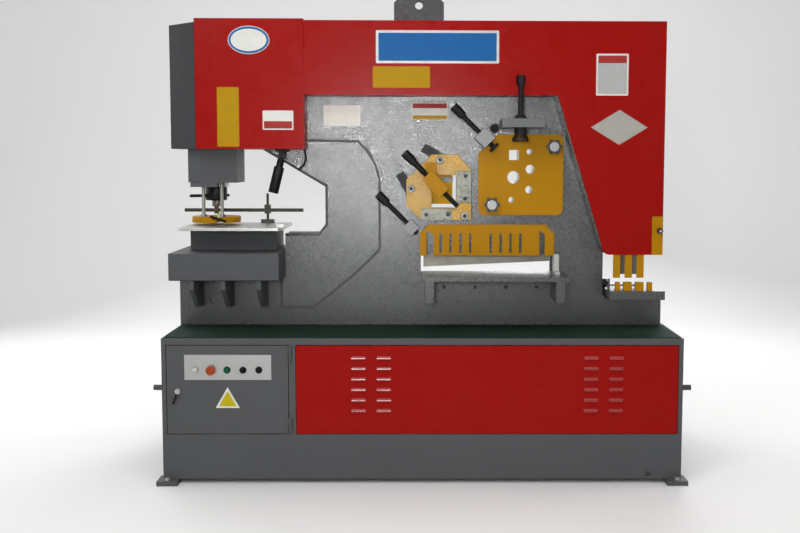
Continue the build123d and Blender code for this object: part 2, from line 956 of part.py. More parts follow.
def punch_nut():
    """Coupling nut of the punch with its handle."""
    nut = bar((punch_x, 0, nut_end), (punch_x, 0, ram_end), nut_radius)
    nut = chamfer(nut.edges().filter_by(GeomType.CIRCLE), 4)
    height = nut_end + nut_height * 0.35
    for angle in (215, 35):
        direction = (cos(radians(angle)), sin(radians(angle)))
        start = (punch_x + direction[0] * nut_radius * 0.9, direction[1] * nut_radius * 0.9, height)
        reach = nut_radius + (nut_handle_length if angle == 215 else 14)
        end = (punch_x + direction[0] * reach, direction[1] * reach, height)
        nut += bar(start, end, 7)
    return nut


def punch_tool():
    """Round punch with a shouldered tip."""
    shoulder = nut_end - punch_length * 0.45
    body = bar((punch_x, 0, shoulder), (punch_x, 0, nut_end), punch_radius)
    return body + bar((punch_x, 0, nut_end - punch_length), (punch_x, 0, shoulder), punch_tip_radius)


def stripper_plate():
    """Stripper ring on two hanging rods."""
    low, high = stripper_z
    ring = bar((punch_x, 0, low), (punch_x, 0, high), stripper_radius)
    ring -= bar((punch_x, 0, low), (punch_x, 0, high), stripper_hole)
    slot = (punch_x + stripper_slot_start, punch_x + stripper_slot_start + stripper_slot_width)
    ring -= block(slot, (-stripper_radius, -stripper_hole), (low, high))
    ring = chamfer(ring.edges().filter_by(GeomType.CIRCLE).group_by(Axis.Z)[-1], 2)
    lever_y = -stripper_radius - lever_radius
    ring += bar((slot[0] - 24, lever_y, high + 3), (slot[1] + 18, lever_y, low + 9), lever_radius)
    link = slot[0] - 8
    ring += bar((link, lever_y, high - 8), (link, -stripper_radius + 20, high - 8), lever_radius)
    knob = (slot[0] + 12, -stripper_radius + 12)
    ring += bar((*knob, high - 9), (*knob, high + 16), 7)
    rod_top = deck + guide_low + 40
    for x in stripper_rod_places():
        ring += bar((x, -stripper_rod_front, high - 4), (x, -stripper_rod_front, rod_top),
                    stripper_rod_radius)
        ring += hexagon((x, -stripper_rod_front, high), (x, -stripper_rod_front, high + 12), 26)
    return ring


def bolster():
    """Bolster block across the two plates, with three ribs in front."""
    body = block(bolster_x, (-frame_face - bolster_reach, frame_face + bolster_back_reach),
                 (deck + bolster_seat, bolster_top))
    body = chamfer(body.edges().filter_by(Axis.X), 5)
    body -= bar((punch_x, 0, deck + bolster_seat), (punch_x, 0, bolster_top), slug_radius)
    top = deck + bolster_seat
    reach = -frame_face - bolster_reach + 10
    for place in rib_positions:
        x = bolster_x[0] + place
        side = make_face(Polyline((reach, top), (-frame_face, top), (-frame_face, top - rib_height - 8),
                                  (-frame_face - rib_foot_reach, top - rib_height), (reach, top - 40),
                                  close=True))
        drawing = Plane(origin=(x, 0, 0), x_dir=(0, 1, 0), z_dir=(1, 0, 0))
        body += extrude(drawing * side, amount=rib_thickness)
    return body


def die_holder():
    """Block that holds the round die on the bolster."""
    x = (holder_left, holder_left + holder_length)
    body = block(x, (-holder_depth / 2, holder_depth / 2), (bolster_top, bolster_top + holder_height))
    top = bolster_top + holder_height
    body -= bar((punch_x, 0, bolster_top), (punch_x, 0, top), slug_radius)
    body -= bar((punch_x, 0, table_top - 4 - die_height), (punch_x, 0, top), die_radius + running_gap)
    return body


def punch_die():
    """Round die, with the hole that widens below its edge."""
    top = table_top - 4
    low = top - die_height
    body = bar((punch_x, 0, low), (punch_x, 0, top), die_radius)
    body = chamfer(body.edges().filter_by(GeomType.CIRCLE).sort_by(Axis.Z)[-1], 3)
    body -= bar((punch_x, 0, low), (punch_x, 0, top), die_hole_radius)
    return body - bar((punch_x, 0, low), (punch_x, 0, top - 18), die_hole_radius + 4)


def punch_table():
    """Bright work plate round the die."""
    x = (table_left, table_left + table_length)
    plate = block(x, (-table_front, table_back), (table_top - table_thickness, table_top))
    plate = chamfer(plate.edges().filter_by(Axis.Z), 12)
    hole = die_radius + table_hole_gap
    return plate - bar((punch_x, 0, table_top - table_thickness), (punch_x, 0, table_top), hole)


def corner_stop():
    """Small stop at the right front of the work plate."""
    right = table_left + table_length + stop_overhang
    return block((right - stop_length, right), (-table_front + 40, -table_front + 76),
                 (table_top, table_top + gauge_bar))


def punch_gauge():
    """Back gauge behind the punch: a rail in the clamp of a post on the work plate."""
    half = gauge_bar / 2
    y = (gauge_y - half, gauge_y + half)
    rail_z = table_top + gauge_rail_rise
    rail = block((gauge_rail_left, gauge_rail_left + gauge_rail_length), y, (rail_z, rail_z + gauge_bar))
    rail = chamfer(rail.edges().filter_by(Axis.X), 2)
    foot = block((gauge_post_x - gauge_foot_length / 2, gauge_post_x + gauge_foot_length / 2),
                 (gauge_y - gauge_foot_depth / 2, gauge_y + gauge_foot_depth / 2),
                 (table_top, table_top + gauge_foot_height))
    clamp = block((gauge_post_x - 14, gauge_post_x + 14), (gauge_y - 15, gauge_y + 15),
                  (rail_z - 8, rail_z + gauge_bar + 18))
    post = bar((gauge_post_x, gauge_y, table_top), (gauge_post_x, gauge_y, table_top + gauge_post_height),
               gauge_post_radius)
    knob_z = rail_z + gauge_bar + 8
    knob = bar((gauge_post_x + 8, gauge_y - 15, knob_z), (gauge_post_x + 8, gauge_y - 42, knob_z), 10)
    return rail + foot + clamp + post + knob


# Lamp over the punch
lamp_joint = (lamp_x, lamp_y, deck + head_cover_low - lamp_drop)


def lamp_bracket():
    """Swivel foot of the lamp under the head cover."""
    x, y, z = lamp_joint
    roof = deck + head_cover_low
    foot = block((x - 32, x + 32), (y - 26, y + 26), (roof - 8, roof))
    ears = block((x - 14, x + 14), (y - 20, y - 12), (z - 16, roof - 8))
    ears += block((x - 14, x + 14), (y + 12, y + 20), (z - 16, roof - 8))
    return foot + ears + bar((x, y - 24, z), (x, y + 24, z), 5)


def work_lamp():
    """Spot lamp: a tapered barrel with a recessed front, on its swivel eye."""
    x, y, z = lamp_joint
    lean = radians(lamp_lean)
    along = (-sin(lean), 0, -cos(lean))
    point = [tuple(p + a * d for p, a in zip(lamp_joint, along)) for d in (24, 60, lamp_length + 14)]
    eye = bar((x, y - 11, z), (x, y + 11, z), 14)
    neck = bar(lamp_joint, point[0], 8)
    body = bar(point[0], point[1], lamp_radius * 0.7) + bar(point[1], point[2], lamp_radius)
    tip = tuple(p - a * 30 for p, a in zip(point[2], along))
    body -= bar(tip, point[2], lamp_radius - 4)
    lamp = body + neck + eye
    return lamp - bar((x, y - 12, z), (x, y + 12, z), 5 + running_gap)


def lamp_cable():
    """Short cable from the head cover to the frame, held at both ends."""
    roof = deck + head_cover_low
    x = head_cover_right - 12
    y = -frame_face - 32
    route = [(x, y, roof), (x, y, roof - 18), (x + 6, y, roof - 44), (x - 4, y + 2, roof - 72),
             (x - 28, y + 8, roof - 90), (x - 32, -frame_face - 14, roof - 92),
             (x - 32, -frame_face, roof - 92)]
    path = FilletPolyline(*route, radius=[24, 22, 20, 16, 9])
    return sweep(Plane(origin=route[0], z_dir=(0, 0, -1)) * Circle(lamp_cable_radius), path=path)


# Swinging beam
def beam_outline():
    """Side view of the swinging beam."""
    blade_left = deck + mouth_low + upper_blade_rise + 50
    blade_right = blade_left + upper_blade_rake
    return outline([
        (pivot_x - beam_eye, deck + pivot_height - 60),
        (pivot_x - beam_eye, deck + pivot_height + 70),
        (pivot_x + 20, deck + pivot_height + beam_eye + 40),
        (angle_window_x - 30, deck + 860),
        (section_x - 60, deck + push_height - 20),
        (push_x - 90, deck + push_height),
        (push_x + 66, deck + push_height),
        (push_x + 66, deck + notch_roof + 10),
        (notch_left + 30, deck + notch_roof + 10),
        (mouth_left + mouth_length, blade_right),
        (mouth_left, blade_left),
        (mouth_left - 40, blade_left + 20),
        (pivot_x + 20, deck + pivot_height - beam_eye),
        (pivot_x - beam_eye + 30, deck + pivot_height - beam_eye),
    ])


def upper_blade_outline(grow=0):
    """Side view of the raked upper blade."""
    left = mouth_left + 12
    right = mouth_left + mouth_length - 12
    low = deck + mouth_low + upper_blade_rise
    return outline([(left - grow, low), (right + grow, low + upper_blade_rake),
                    (right + grow, low + upper_blade_rake + 78 + grow), (left - grow, low + 78 + grow)])


def shear_beam():
    """Swinging beam with the windows that the stock passes through."""
    beam = slab(beam_outline(), -half_beam, half_beam)
    eye = (pivot_x, deck + pivot_height)
    beam -= bar((eye[0], -half_beam, eye[1]), (eye[0], half_beam, eye[1]), pivot_radius + running_gap)
    x, y, z = angle_window((-half_beam, half_beam))
    beam -= block(shrink(x, -angle_window_rim), y, shrink(z, -angle_window_rim))
    x, z = section_span(section_block_width, section_block_height)
    beam -= block(x, (-half_beam, half_beam), z)
    beam -= slab(upper_blade_outline(seat_gap), -half_beam, -half_beam + 24)
    return beam


def pivot_pin():
    """Pivot pin, held in blind sockets of both plates."""
    half = half_gap + pivot_socket - 1
    z = deck + pivot_height
    return bar((pivot_x, -half, z), (pivot_x, half, z), pivot_radius)


def section_holes(y, grow=0):
    """Tools that cut the shaped holes of the section cutter."""
    cuts = []
    for x, h, radius in ((-33, -11, 28), (42, 26, 20), (38, -67, 17), (39, 105, 13), (-42, -113, 13)):
        place = (section_x + x, deck + section_h + h)
        cuts.append(bar((place[0], y[0] - 1, place[1]), (place[0], y[1] + 1, place[1]), radius + grow))
    square = 23 + grow
    x = section_x - 31
    z = deck + section_h + 90
    cuts.append(block((x - square, x + square), (y[0] - 1, y[1] + 1), (z - square, z + square)))
    return cuts


def section_outline():
    """Front view of the section cutter plate, with one large bevel."""
    x, z = section_span(section_width, section_height)
    drawn = make_face(Polyline((x[0], z[0]), (x[1], z[0]), (x[1], z[1]), (x[0] + section_bevel, z[1]),
                               (x[0], z[1] - section_bevel), close=True))
    square = [v for v in drawn.vertices() if abs(v.X - x[1]) < 1 or abs(v.Y - z[0]) < 1]
    return fillet(square, section_corner)


section_face = -frame_face - section_standoff - section_plate_thickness


def section_plate():
    """Yellow front plate of the section cutter, on two studs."""
    y = (section_face, section_face + section_plate_thickness)
    plate = slab(section_outline(), *y)
    for cut in section_holes(y):
        plate -= cut
    for x, z in star_places():
        plate += bar((x, y[1], z), (x, -frame_face, z), section_boss_radius)
        plate -= bar((x, y[0], z), (x, -frame_face, z), 8 + running_gap)
    return plate


def star_places():
    """Middles of the two star knobs."""
    return ((section_x - 131, deck + section_h - 136), (section_x + 149, deck + section_h + 127))


def star_knob(x, y, z, radius, core):
    """Six-lobed clamping knob with a chrome centre."""
    head = bar((x, y - 24, z), (x, y - 2, z), radius * 0.8)
    for count in range(6):
        angle = radians(60 * count)
        lobe = (x + radius * 0.78 * cos(angle), z + radius * 0.78 * sin(angle))
        head += bar((lobe[0], y - 24, lobe[1]), (lobe[0], y - 6, lobe[1]), radius * 0.24)
    return head + bar((x, y - 30, z), (x, y, z), core)


def section_star(number):
    """Star knob of the section cutter, with its stud through the plate."""
    x, z = star_places()[number]
    y = section_face - seat_gap
    return star_knob(x, y, z, star_radius, star_core) + bar((x, y - 2, z), (x, -frame_face - 1, z), 8)


def section_blocks(y, gap, grow):
    """Pair of steel blocks behind the section plate, with the holes that shape the cut."""
    x, z = section_span(section_block_width, section_block_height)
    x = shrink(x, gap)
    joint = section_x + section_block_split
    blocks = []
    for span in ((x[0], joint), (joint, x[1])):
        body = block(span, y, shrink(z, gap))
        for cut in section_holes(y, grow):
            body -= cut
        blocks.append(body)
    return blocks


def fixed_blades():
    """Blades that stand still: the angle shear's pair, the flat shear's and the section block."""
    face = -frame_face - angle_plate_thickness
    y = (face - blade_thickness, face)
    right = angle_window_x + angle_window_width
    low = deck + angle_window_low
    upright = block((right, right + 68), y, (low + 24, low + 169))
    level = block((angle_window_x - 48, angle_window_x + 92), y, (low - 53, low - 3))
    flat = block((mouth_left, mouth_left + mouth_length),
                 (-half_gap, -half_gap + flat_blade_thickness),
                 (deck + mouth_low - flat_blade_height, deck + mouth_low))
    section_y = (section_face + section_plate_thickness, -half_gap - blade_clearance / 2)
    return [upright, level, flat, *section_blocks(section_y, section_block_gap, 0)]


def moving_blades():
    """Blades carried by the beam."""
    flat = slab(upper_blade_outline(), -half_gap + flat_blade_thickness + blade_clearance, -half_beam + 24)
    section_y = (-half_gap + blade_clearance / 2, half_beam - 12)
    section = section_blocks(section_y, seat_gap, 1)
    x, y, z = angle_window((-half_gap + blade_clearance / 2, half_beam))
    rim = angle_window_rim - seat_gap
    angle = block((x[0] - rim, x[1] - angle_slot), y, (z[0] + angle_slot, z[1] + rim))
    half = notch_punch_depth / 2
    notch = block((notch_punch_left, notch_punch_left + notch_punch_length), (-half, half),
                  (deck + notch_punch_rest, deck + notch_roof + 10))
    return [flat, *section, angle, notch]


# Shear cylinder
push_z = deck + push_height


def shear_cylinder():
    """Barrel of the shear cylinder, under the top spacer."""
    low = deck + push_barrel_low
    high = deck + frame_top - top_bar_height
    barrel = bar((push_x, 0, low), (push_x, 0, high), push_barrel_radius)
    bore_top = push_z + push_rod_length + push_bore_spare
    return barrel - bar((push_x, 0, low), (push_x, 0, bore_top), push_rod_radius + running_gap)


def shear_piston():
    """Rod of the shear cylinder, with a domed end that presses on the beam."""
    low = push_z + seat_gap
    rod = bar((push_x, 0, low), (push_x, 0, low + push_rod_length), push_rod_radius)
    dome = Pos(push_x, 0, low + push_dome) * Sphere(push_dome)
    tail = bar((push_x, 0, low + 30), (push_x, 0, low + push_rod_length), push_rod_radius)
    return (rod & dome) + tail


# Covers
cover_low_z = deck + head_cover_low
cover_top_z = deck + cover_top
lug_slot = ((lug_left - 4, lug_left + lug_length + 4), (-lug_thickness / 2 - 4, lug_thickness / 2 + 4))


def cover_shell(drawn, hollow, y_face, keep_y):
    """Folded cover: a front sheet with its edges turned back."""
    outer = slab(drawn, y_face, keep_y)
    return outer - slab(hollow, y_face + cover_sheet, keep_y)


def head_cover():
    """Red front cover of the punch head."""
    x = (head_cover_left, head_cover_right - cover_gap)
    z = (cover_low_z, cover_top_z + head_rise)
    shell = block(x, (-cover_face, -cover_gap / 2), z)
    shell -= block(shrink(x, cover_sheet), (-cover_face + cover_sheet, 0), shrink(z, cover_sheet))
    shell -= block((x[0] - 1, x[1] - cover_sheet), (-cover_face + cover_sheet, 0),
                   (z[0] + cover_sheet, z[1] - cover_sheet))
    shell -= block((x[0] - 1, x[1] + 1), (-frame_face - 1, 0), (z[0] - 1, z[1] - cover_sheet))
    shell -= block((x[0] - 1, punch_x + guide_width / 2 + 2), (-guide_depth / 2 - 2, 0),
                   (z[0] - 1, z[0] + 30))
    return shell


def nose_outline(inset=0):
    """Top view of the punch head's end cover."""
    left = nose_left + inset
    face = cover_face - inset
    shoulder = head_cover_left - cover_gap
    nose = frame_face + 10 - inset * 0.6
    return outline([(shoulder, -face), (left, -nose), (left, nose), (shoulder, face)])


def head_end_cover():
    """Grey end cover of the punch head, folded round its nose."""
    height = cover_top - end_cover_drop - head_cover_low
    outer = Pos(0, 0, cover_low_z) * extrude(nose_outline(), amount=height)
    inner = Pos(0, 0, cover_low_z + cover_sheet) * extrude(nose_outline(cover_sheet),
                                                           amount=height - 2 * cover_sheet)
    half = guide_depth / 2 + 2
    reach = block((punch_x - guide_width / 2 - 2, head_cover_left), (-half, half),
                  (cover_low_z - 1, cover_low_z + 30))
    return outer - inner - reach


def beam_outline_cover(x_left, inset=0):
    """Front view of a beam cover: a band with a leg down the right side."""
    corner = Vector(leg_low_x + rail_thickness + inset + 1, deck + leg_low)
    drawn = outline([
        (x_left + inset, deck + band_low + inset), (x_left + inset, cover_top_z - inset),
        (cover_right - inset, cover_top_z - inset), (cover_right - inset, deck + leg_low),
        (corner.X, corner.Y), (leg_top_x + rail_thickness + inset + 1, deck + band_low + inset)])
    nearest = min(drawn.vertices(), key=lambda vertex: (Vector(vertex.X, vertex.Y) - corner).length)
    return fillet(nearest, leg_corner - inset)


def beam_cover():
    """Red front cover of the beam."""
    drawn = beam_outline_cover(head_cover_right)
    hollow = beam_outline_cover(head_cover_right, cover_sheet)
    shell = cover_shell(drawn, hollow, -cover_face, -cover_gap / 2)
    shell -= block((head_cover_right - 1, cover_right + 1), (-frame_face - 1, 0),
                   (deck + leg_low - 1, cover_top_z - cover_sheet))
    shell += block((cover_right - cover_sheet, cover_right), (-frame_face - 1, -cover_gap / 2),
                   (deck + leg_low, cover_top_z - cover_sheet))
    slot_x, slot_y = lug_slot
    return shell - block(slot_x, slot_y, (cover_top_z - 10, cover_top_z + 10))


def rear_cover():
    """Rear cover of the beam and the punch head, in one sheet."""
    near = beam_cover()
    head = head_cover()
    seam = block((head_cover_right - cover_gap - cover_sheet, head_cover_right + cover_sheet),
                 (-cover_face, -cover_face + cover_sheet), (deck + band_low, cover_top_z))
    return mirrored(near + head + seam)


# Angle shear
def angle_plate():
    """Seven-sided holder of the angle shear, with the square window."""
    y = (-frame_face - angle_plate_thickness, -frame_face)
    left, right = angle_plate_left, angle_plate_right
    low, high = deck + angle_plate_low, deck + angle_plate_high
    plate = slab(outline([
        (left, low + holder_low_bevel), (left + holder_low_bevel, low), (right, low),
        (right, high - holder_right_bevel * 1.2), (right - holder_right_bevel, high),
        (left + holder_left_bevel, high), (left, high - holder_left_bevel)]), *y)
    for strap in angle_straps():
        plate -= strap
    return plate - block(*angle_window(y))


def angle_straps():
    """Two dark straps under the holder, alike on both sides of the clamp screw's line."""
    y = -frame_face - strap_thickness / 2
    straps = []
    for (x, h), lean in ((strap_low_end, strap_lean), (strap_high_end, 90 - strap_lean)):
        body = Pos(0, 0, -strap_length / 2) * Box(strap_width, strap_thickness, strap_length)
        straps.append(Pos(x, y, deck + h) * Rot(0, -lean, 0) * body)
    return straps


def angle_corner():
    """Yellow corner block of the angle shear, cut away at the corner of the window."""
    face = -frame_face - angle_plate_thickness
    window_x = angle_window_x + angle_window_width
    window_z = deck + angle_window_low
    right = window_x + 69
    low = window_z - 53
    drawn = outline([(right - corner_width, low), (right, low), (right, low + corner_height),
                     (window_x + 19, low + corner_height), (window_x + 1, window_z - 2),
                     (right - corner_width, window_z - 6)])
    return slab(drawn, face - corner_thickness, face)


angle_face = -frame_face - angle_plate_thickness
angle_screw_y = angle_face - corner_thickness - screw_radius - 3
clamp_direction = (sin(radians(45)), 0, -cos(radians(45)))


def angle_clamp():
    """Yellow clamp housing of the angle shear, set at 45 degrees."""
    body = Box(clamp_length, clamp_depth, clamp_width)
    body = fillet(body.edges().filter_by(Axis.Y), 10)
    body = Pos(clamp_centre_x, angle_face - clamp_depth / 2, deck + clamp_centre_h) * Rot(0, 45, 0) * body
    foot = block((clamp_centre_x - 46, clamp_centre_x + 6), (angle_face - 18, angle_face),
                 (deck + clamp_centre_h + 20, deck + clamp_centre_h + 96))
    start, end = screw_line((clamp_centre_x, angle_screw_y, deck + clamp_centre_h), 90, 90)
    return body + foot - bar(start, end, screw_radius + running_gap)


def screw_line(middle, before, after):
    """Two points on the 45-degree line through a nut block."""
    start = tuple(m - d * before for m, d in zip(middle, clamp_direction))
    end = tuple(m + d * after for m, d in zip(middle, clamp_direction))
    return start, end


def slanted_screw(middle, before, after, pad=0):
    """Clamp screw at 45 degrees: a thick head, a long shank and, if asked, a pad."""
    start, end = screw_line(middle, before, after)
    neck = tuple(s + d * screw_head_length for s, d in zip(start, clamp_direction))
    screw = bar(start, end, screw_radius) + hexagon(start, neck, screw_head_radius * 2)
    if pad:
        foot = tuple(e + d * slant_pad_height for e, d in zip(end, clamp_direction))
        screw += bar(end, foot, pad)
    return screw


def nut_block(middle, size, y):
    """Square nut block at 45 degrees, welded to the front plate."""
    body = Box(size, y[1] - y[0], size)
    body = Pos(middle[0], (y[0] + y[1]) / 2, middle[2]) * Rot(0, 45, 0) * body
    start, end = screw_line(middle, size, size)
    return body - bar(start, end, screw_radius + running_gap)


screw_y = section_face - slant_pad_radius - screw_y_gap
corner_middle = (section_x - corner_block_left, screw_y, deck + section_h + corner_block_rise)
flat_screw_middle = (flat_block_x, -frame_face - flat_block_standoff, deck + flat_block_height)
down_x = section_x - 13
down_y = -cover_face - screw_head_radius - down_screw_gap
bracket_low = deck + section_h + section_height / 2 + 28


def screw_brackets():
    """Brackets on the front plate that the hold-down screws run in."""
    top = bracket_low + bracket_height
    beam = block((down_x - 81, down_x + 108), (down_y - 26, -frame_face), (bracket_low, top))
    lock_nut = Cone(lock_nut_radius, lock_nut_top, lock_nut_height)
    beam += Pos(down_x, down_y, top + lock_nut_height / 2) * lock_nut
    beam -= bar((down_x, down_y, bracket_low), (down_x, down_y, top + lock_nut_height),
                screw_radius + running_gap)
    corner = nut_block(corner_middle, 64, (screw_y - 26, -frame_face))
    flat = nut_block(flat_screw_middle, 52, (flat_screw_middle[1] - 26, -frame_face))
    return [beam, corner, flat]


def section_screw():
    """Upright hold-down screw of the section cutter."""
    top = bracket_low + 228
    collar_top = bracket_low - seat_gap
    collar_low = collar_top - down_collar_height
    pad_top = collar_low - down_pad_height
    screw = bar((down_x, down_y, collar_low), (down_x, down_y, top), screw_radius)
    screw += hexagon((down_x, down_y, top - 42), (down_x, down_y, top), screw_head_radius * 2)
    screw += bar((down_x, down_y, collar_low), (down_x, down_y, collar_top), down_collar_radius)
    flare = Cone(down_pad_radius, down_collar_radius, down_pad_height)
    screw += Pos(down_x, down_y, collar_low - down_pad_height / 2) * flare
    pad_low = pad_top - down_pad_height
    return screw + bar((down_x, down_y, pad_low), (down_x, down_y, pad_top), down_pad_radius)


def corner_screw():
    """Slanting hold-down screw at the section cutter's corner."""
    return slanted_screw(corner_middle, screw_reach, corner_screw_throw, slant_pad_radius)


def angle_screw():
    """Clamp screw of the angle shear, thicker above its housing."""
    middle = (clamp_centre_x, angle_screw_y, deck + clamp_centre_h)
    sleeve = screw_line(middle, screw_reach, -sleeve_end)
    return slanted_screw(middle, screw_reach, angle_screw_throw) + bar(*sleeve, sleeve_radius)


def flat_screw():
    """Slanting hold-down screw of the flat shear."""
    return slanted_screw(flat_screw_middle, flat_screw_reach, flat_screw_throw)


def cap_screws():
    """Socket cap screws of the blades, the corner block and the table."""
    face = angle_face
    low = deck + angle_window_low
    screws = [socket_screw(x, deck + h, face, holder_bolt_radius, bolt_height) for x, h in holder_bolts]
    screws.append(socket_screw(corner_bolt[0], deck + corner_bolt[1], face - corner_thickness,
                               corner_bolt_radius, bolt_height))
    screws.append(socket_screw(down_x - bracket_bolt_left, bracket_low, -frame_face,
                               bracket_bolt_radius, bracket_bolt_height))
    for x, h in upright_bolts + level_bolts:
        screws.append(socket_screw(x, low + h, face - blade_thickness, blade_bolt_radius, blade_bolt_height))
    apron_face = -frame_face - apron_thickness
    apron_z = deck + mouth_low - table_top_thickness - apron_bolt_drop
    for count in range(4):
        x = shear_table_left + apron_bolt_first + count * apron_bolt_pitch
        screws.append(socket_screw(x, apron_z, apron_face, apron_bolt_radius, apron_bolt_height))
    return screws


# Flat shear
def flat_guard():
    """Yellow guard in front of the flat shear, slotted so that the blade can be seen."""
    face = -frame_face - guard_standoff - guard_thickness
    right = guard_left + guard_length
    low = deck + guard_low
    top = low + guard_height
    drawn = outline([(guard_left, low), (right, low), (right, top - guard_bevel), (right - guard_bevel, top),
                     (guard_left + guard_bevel, top), (guard_left, top - guard_bevel)])
    plate = slab(drawn, face, face + guard_thickness)
    for x in guard_slots():
        plate -= block((x, x + guard_slot), (face, face + guard_thickness),
                       (low + 12, low + 12 + guard_slot_height))
    for start, width in guard_hooks:
        x = guard_left + start
        bend = low + guard_hook_height
        hook = outline([(x, low - 1), (x + width, low - 1), (x + width, bend),
                        (x - 4, bend + guard_hook_rise), (x, bend - 6)])
        plate -= slab(hook, face, face + guard_thickness)
    for x in (guard_left, right - guard_lug_length):
        plate += block((x, x + guard_lug_length), (face + guard_thickness, -frame_face),
                       (low, low + guard_lug_height))
    return plate


def guard_slots():
    """Left edges of the sight slots, in two groups of four."""
    first = guard_left + 90
    second = guard_left + 318
    return [start + count * 45 for start in (first, second) for count in range(4)]


def shear_table():
    """Table of the flat shear: a top, an apron against the plate and two cheeks."""
    x = (shear_table_left, shear_table_left + shear_table_length)
    top = deck + mouth_low
    reach = -frame_face - shear_table_reach
    table = block(x, (reach, -frame_face), (top - table_top_thickness, top))
    table += block((x[0] + 5, x[1] - 60), (-frame_face - apron_thickness, -frame_face),
                   (top - table_top_thickness - apron_height, top))
    low = top - table_top_thickness - cheek_height
    for left in (x[0] + 8, x[1] - 64):
        cheek_x = (left, left + cheek_thickness)
        table += block(cheek_x, (reach, -frame_face), (low, top - table_top_thickness))
    return table


def table_gauge():
    """Upright side gauge on the flat shear's table."""
    low = deck + mouth_low
    x = (gauge_block_left, gauge_block_left + gauge_block_width)
    y = -frame_face - guard_standoff - guard_thickness - 14
    foot = block(x, (y - 60, y), (low, low + 16))
    return foot + block(x, (y - 14, y), (low + 16, low + gauge_block_height))


# Notcher
notch_knob_y = -frame_face - 110


def notch_table():
    """Table of the notcher, on the edges of both plates, with the gap for its punch."""
    x = (notch_table_left, notch_table_left + notch_table_length)
    top = notch_seat + notch_table_thickness
    table = block(x, (-frame_face - notch_table_reach, frame_face), (notch_seat, top))
    gap_x = (notch_punch_left - notch_swing_gap, notch_punch_left + notch_punch_length + notch_hole_gap)
    half = notch_punch_depth / 2 + notch_hole_gap
    table -= block(gap_x, (-half, half), (notch_seat, top))
    return table + block((x[0], x[0] + notch_ear), (notch_knob_y - 12, notch_knob_y + 12),
                         (top, top + notch_ear_height))


def notch_guard():
    """Yellow comb guard of the notcher, in an upper and a lower row, and its side plate."""
    inner = -cover_face + cover_sheet
    low = deck + leg_low
    right = comb_first + 2 * comb_pitch + comb_bar
    comb = block((comb_first, right), (inner, inner + comb_thickness), (low + 4, low + 44))
    for count in range(3):
        x = comb_first + count * comb_pitch
        comb += block((x, x + comb_bar), (inner, inner + comb_thickness), (low - comb_drop, low + 4))
    top = notch_seat + notch_table_thickness
    y = (-frame_face - notch_table_reach + 6, -frame_face - notch_table_reach + 34)
    blocks = []
    for x, width in comb_blocks:
        blocks.append(block((x, x + width), y, (top, top + comb_block_height)))
    plate = block((cover_right - side_plate_width, cover_right), (-cover_face - 3, -cover_face),
                  (low, low + side_plate_height))
    return [comb, plate] + blocks


def side_knob():
    """Small star knob on the notcher's side plate."""
    return star_knob(cover_right - 17, -cover_face - 3 - seat_gap, deck + leg_low + 109,
                     side_knob_radius, side_knob_core)


def notch_knob():
    """Clamping knob with a short arm, on the ear of the notcher's table."""
    x = notch_table_left - seat_gap
    y = notch_knob_y
    z = notch_seat + notch_table_thickness + notch_knob_rise
    knob = bar((x - 5 - notch_knob_length, y, z), (x - 5, y, z), notch_knob_radius)
    arm = bar((x - 19, y, z - notch_knob_radius * 0.8), (x - 6, y, z - notch_knob_radius * 3.5), 4)
    return knob + bar((x - 5, y, z), (x, y, z), 8) + arm


os.makedirs("parts", exist_ok=True)
save("base_cabinet", base_cabinet())
save("deck_mat", *deck_mat())
save("electric_door", electric_door())
save("door_latch", door_latch())
save("control_plate", control_plate())
save("signal_lamp", signal_lamp())
save("emergency_stop", emergency_stop())
save("start_button", start_button())
save("mode_selector", selector(3))
save("stroke_selector", selector(4))
save("hydraulic_panel", hydraulic_panel())
save("electric_plate", electric_plate(), *contactors())
save("oil_tank", oil_tank())
save("pump_motor", pump_motor(), oil_pump())
save("valve_block", valve_block())
save("frame_plate_front", frame_plate_front())
save("frame_plate_back", frame_plate_back())
save("frame_spacers", *frame_spacers(), *cover_rails())
save("lifting_lug", lifting_lug())
save("ram_guide", ram_guide())
save("punch_cylinder", punch_cylinder())
save("punch_ram", punch_ram())
save("punch_nut", punch_nut())
save("punch_tool", punch_tool())
save("stripper_plate", stripper_plate())
save("bolster", bolster())
save("die_holder", die_holder())
save("punch_die", punch_die())
save("punch_table", punch_table(), corner_stop())
save("punch_gauge", punch_gauge())
save("lamp_bracket", lamp_bracket())
save("work_lamp", work_lamp())
save("lamp_cable", lamp_cable())
save("shear_beam", shear_beam())
save("pivot_pin", pivot_pin())
save("moving_blades", *moving_blades())
save("fixed_blades", *fixed_blades())
save("shear_cylinder", shear_cylinder())
save("shear_piston", shear_piston())
save("head_cover", head_cover())
save("head_end_cover", head_end_cover())
save("beam_cover", beam_cover())
save("rear_cover", rear_cover())
save("angle_plate", angle_plate(), angle_corner(), *angle_straps())
save("angle_clamp", angle_clamp())
save("section_plate", section_plate())
save("star_knob_low", section_star(0))
save("star_knob_high", section_star(1))
save("screw_brackets", *screw_brackets())
save("section_screw", section_screw())
save("corner_screw", corner_screw())
save("angle_screw", angle_screw())
save("flat_screw", flat_screw())
save("screws", *cap_screws(), *anchor_bolts())
save("flat_guard", flat_guard())
save("shear_table", shear_table(), table_gauge())
save("notch_table", notch_table())
save("notch_guard", *notch_guard())
save("side_knob", side_knob())
save("notch_knob", notch_knob())
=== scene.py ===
"""Looks of the hydraulic ironworker, in metres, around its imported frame."""
import json
import math
import bmesh
import bpy
from mathutils import Matrix, Vector


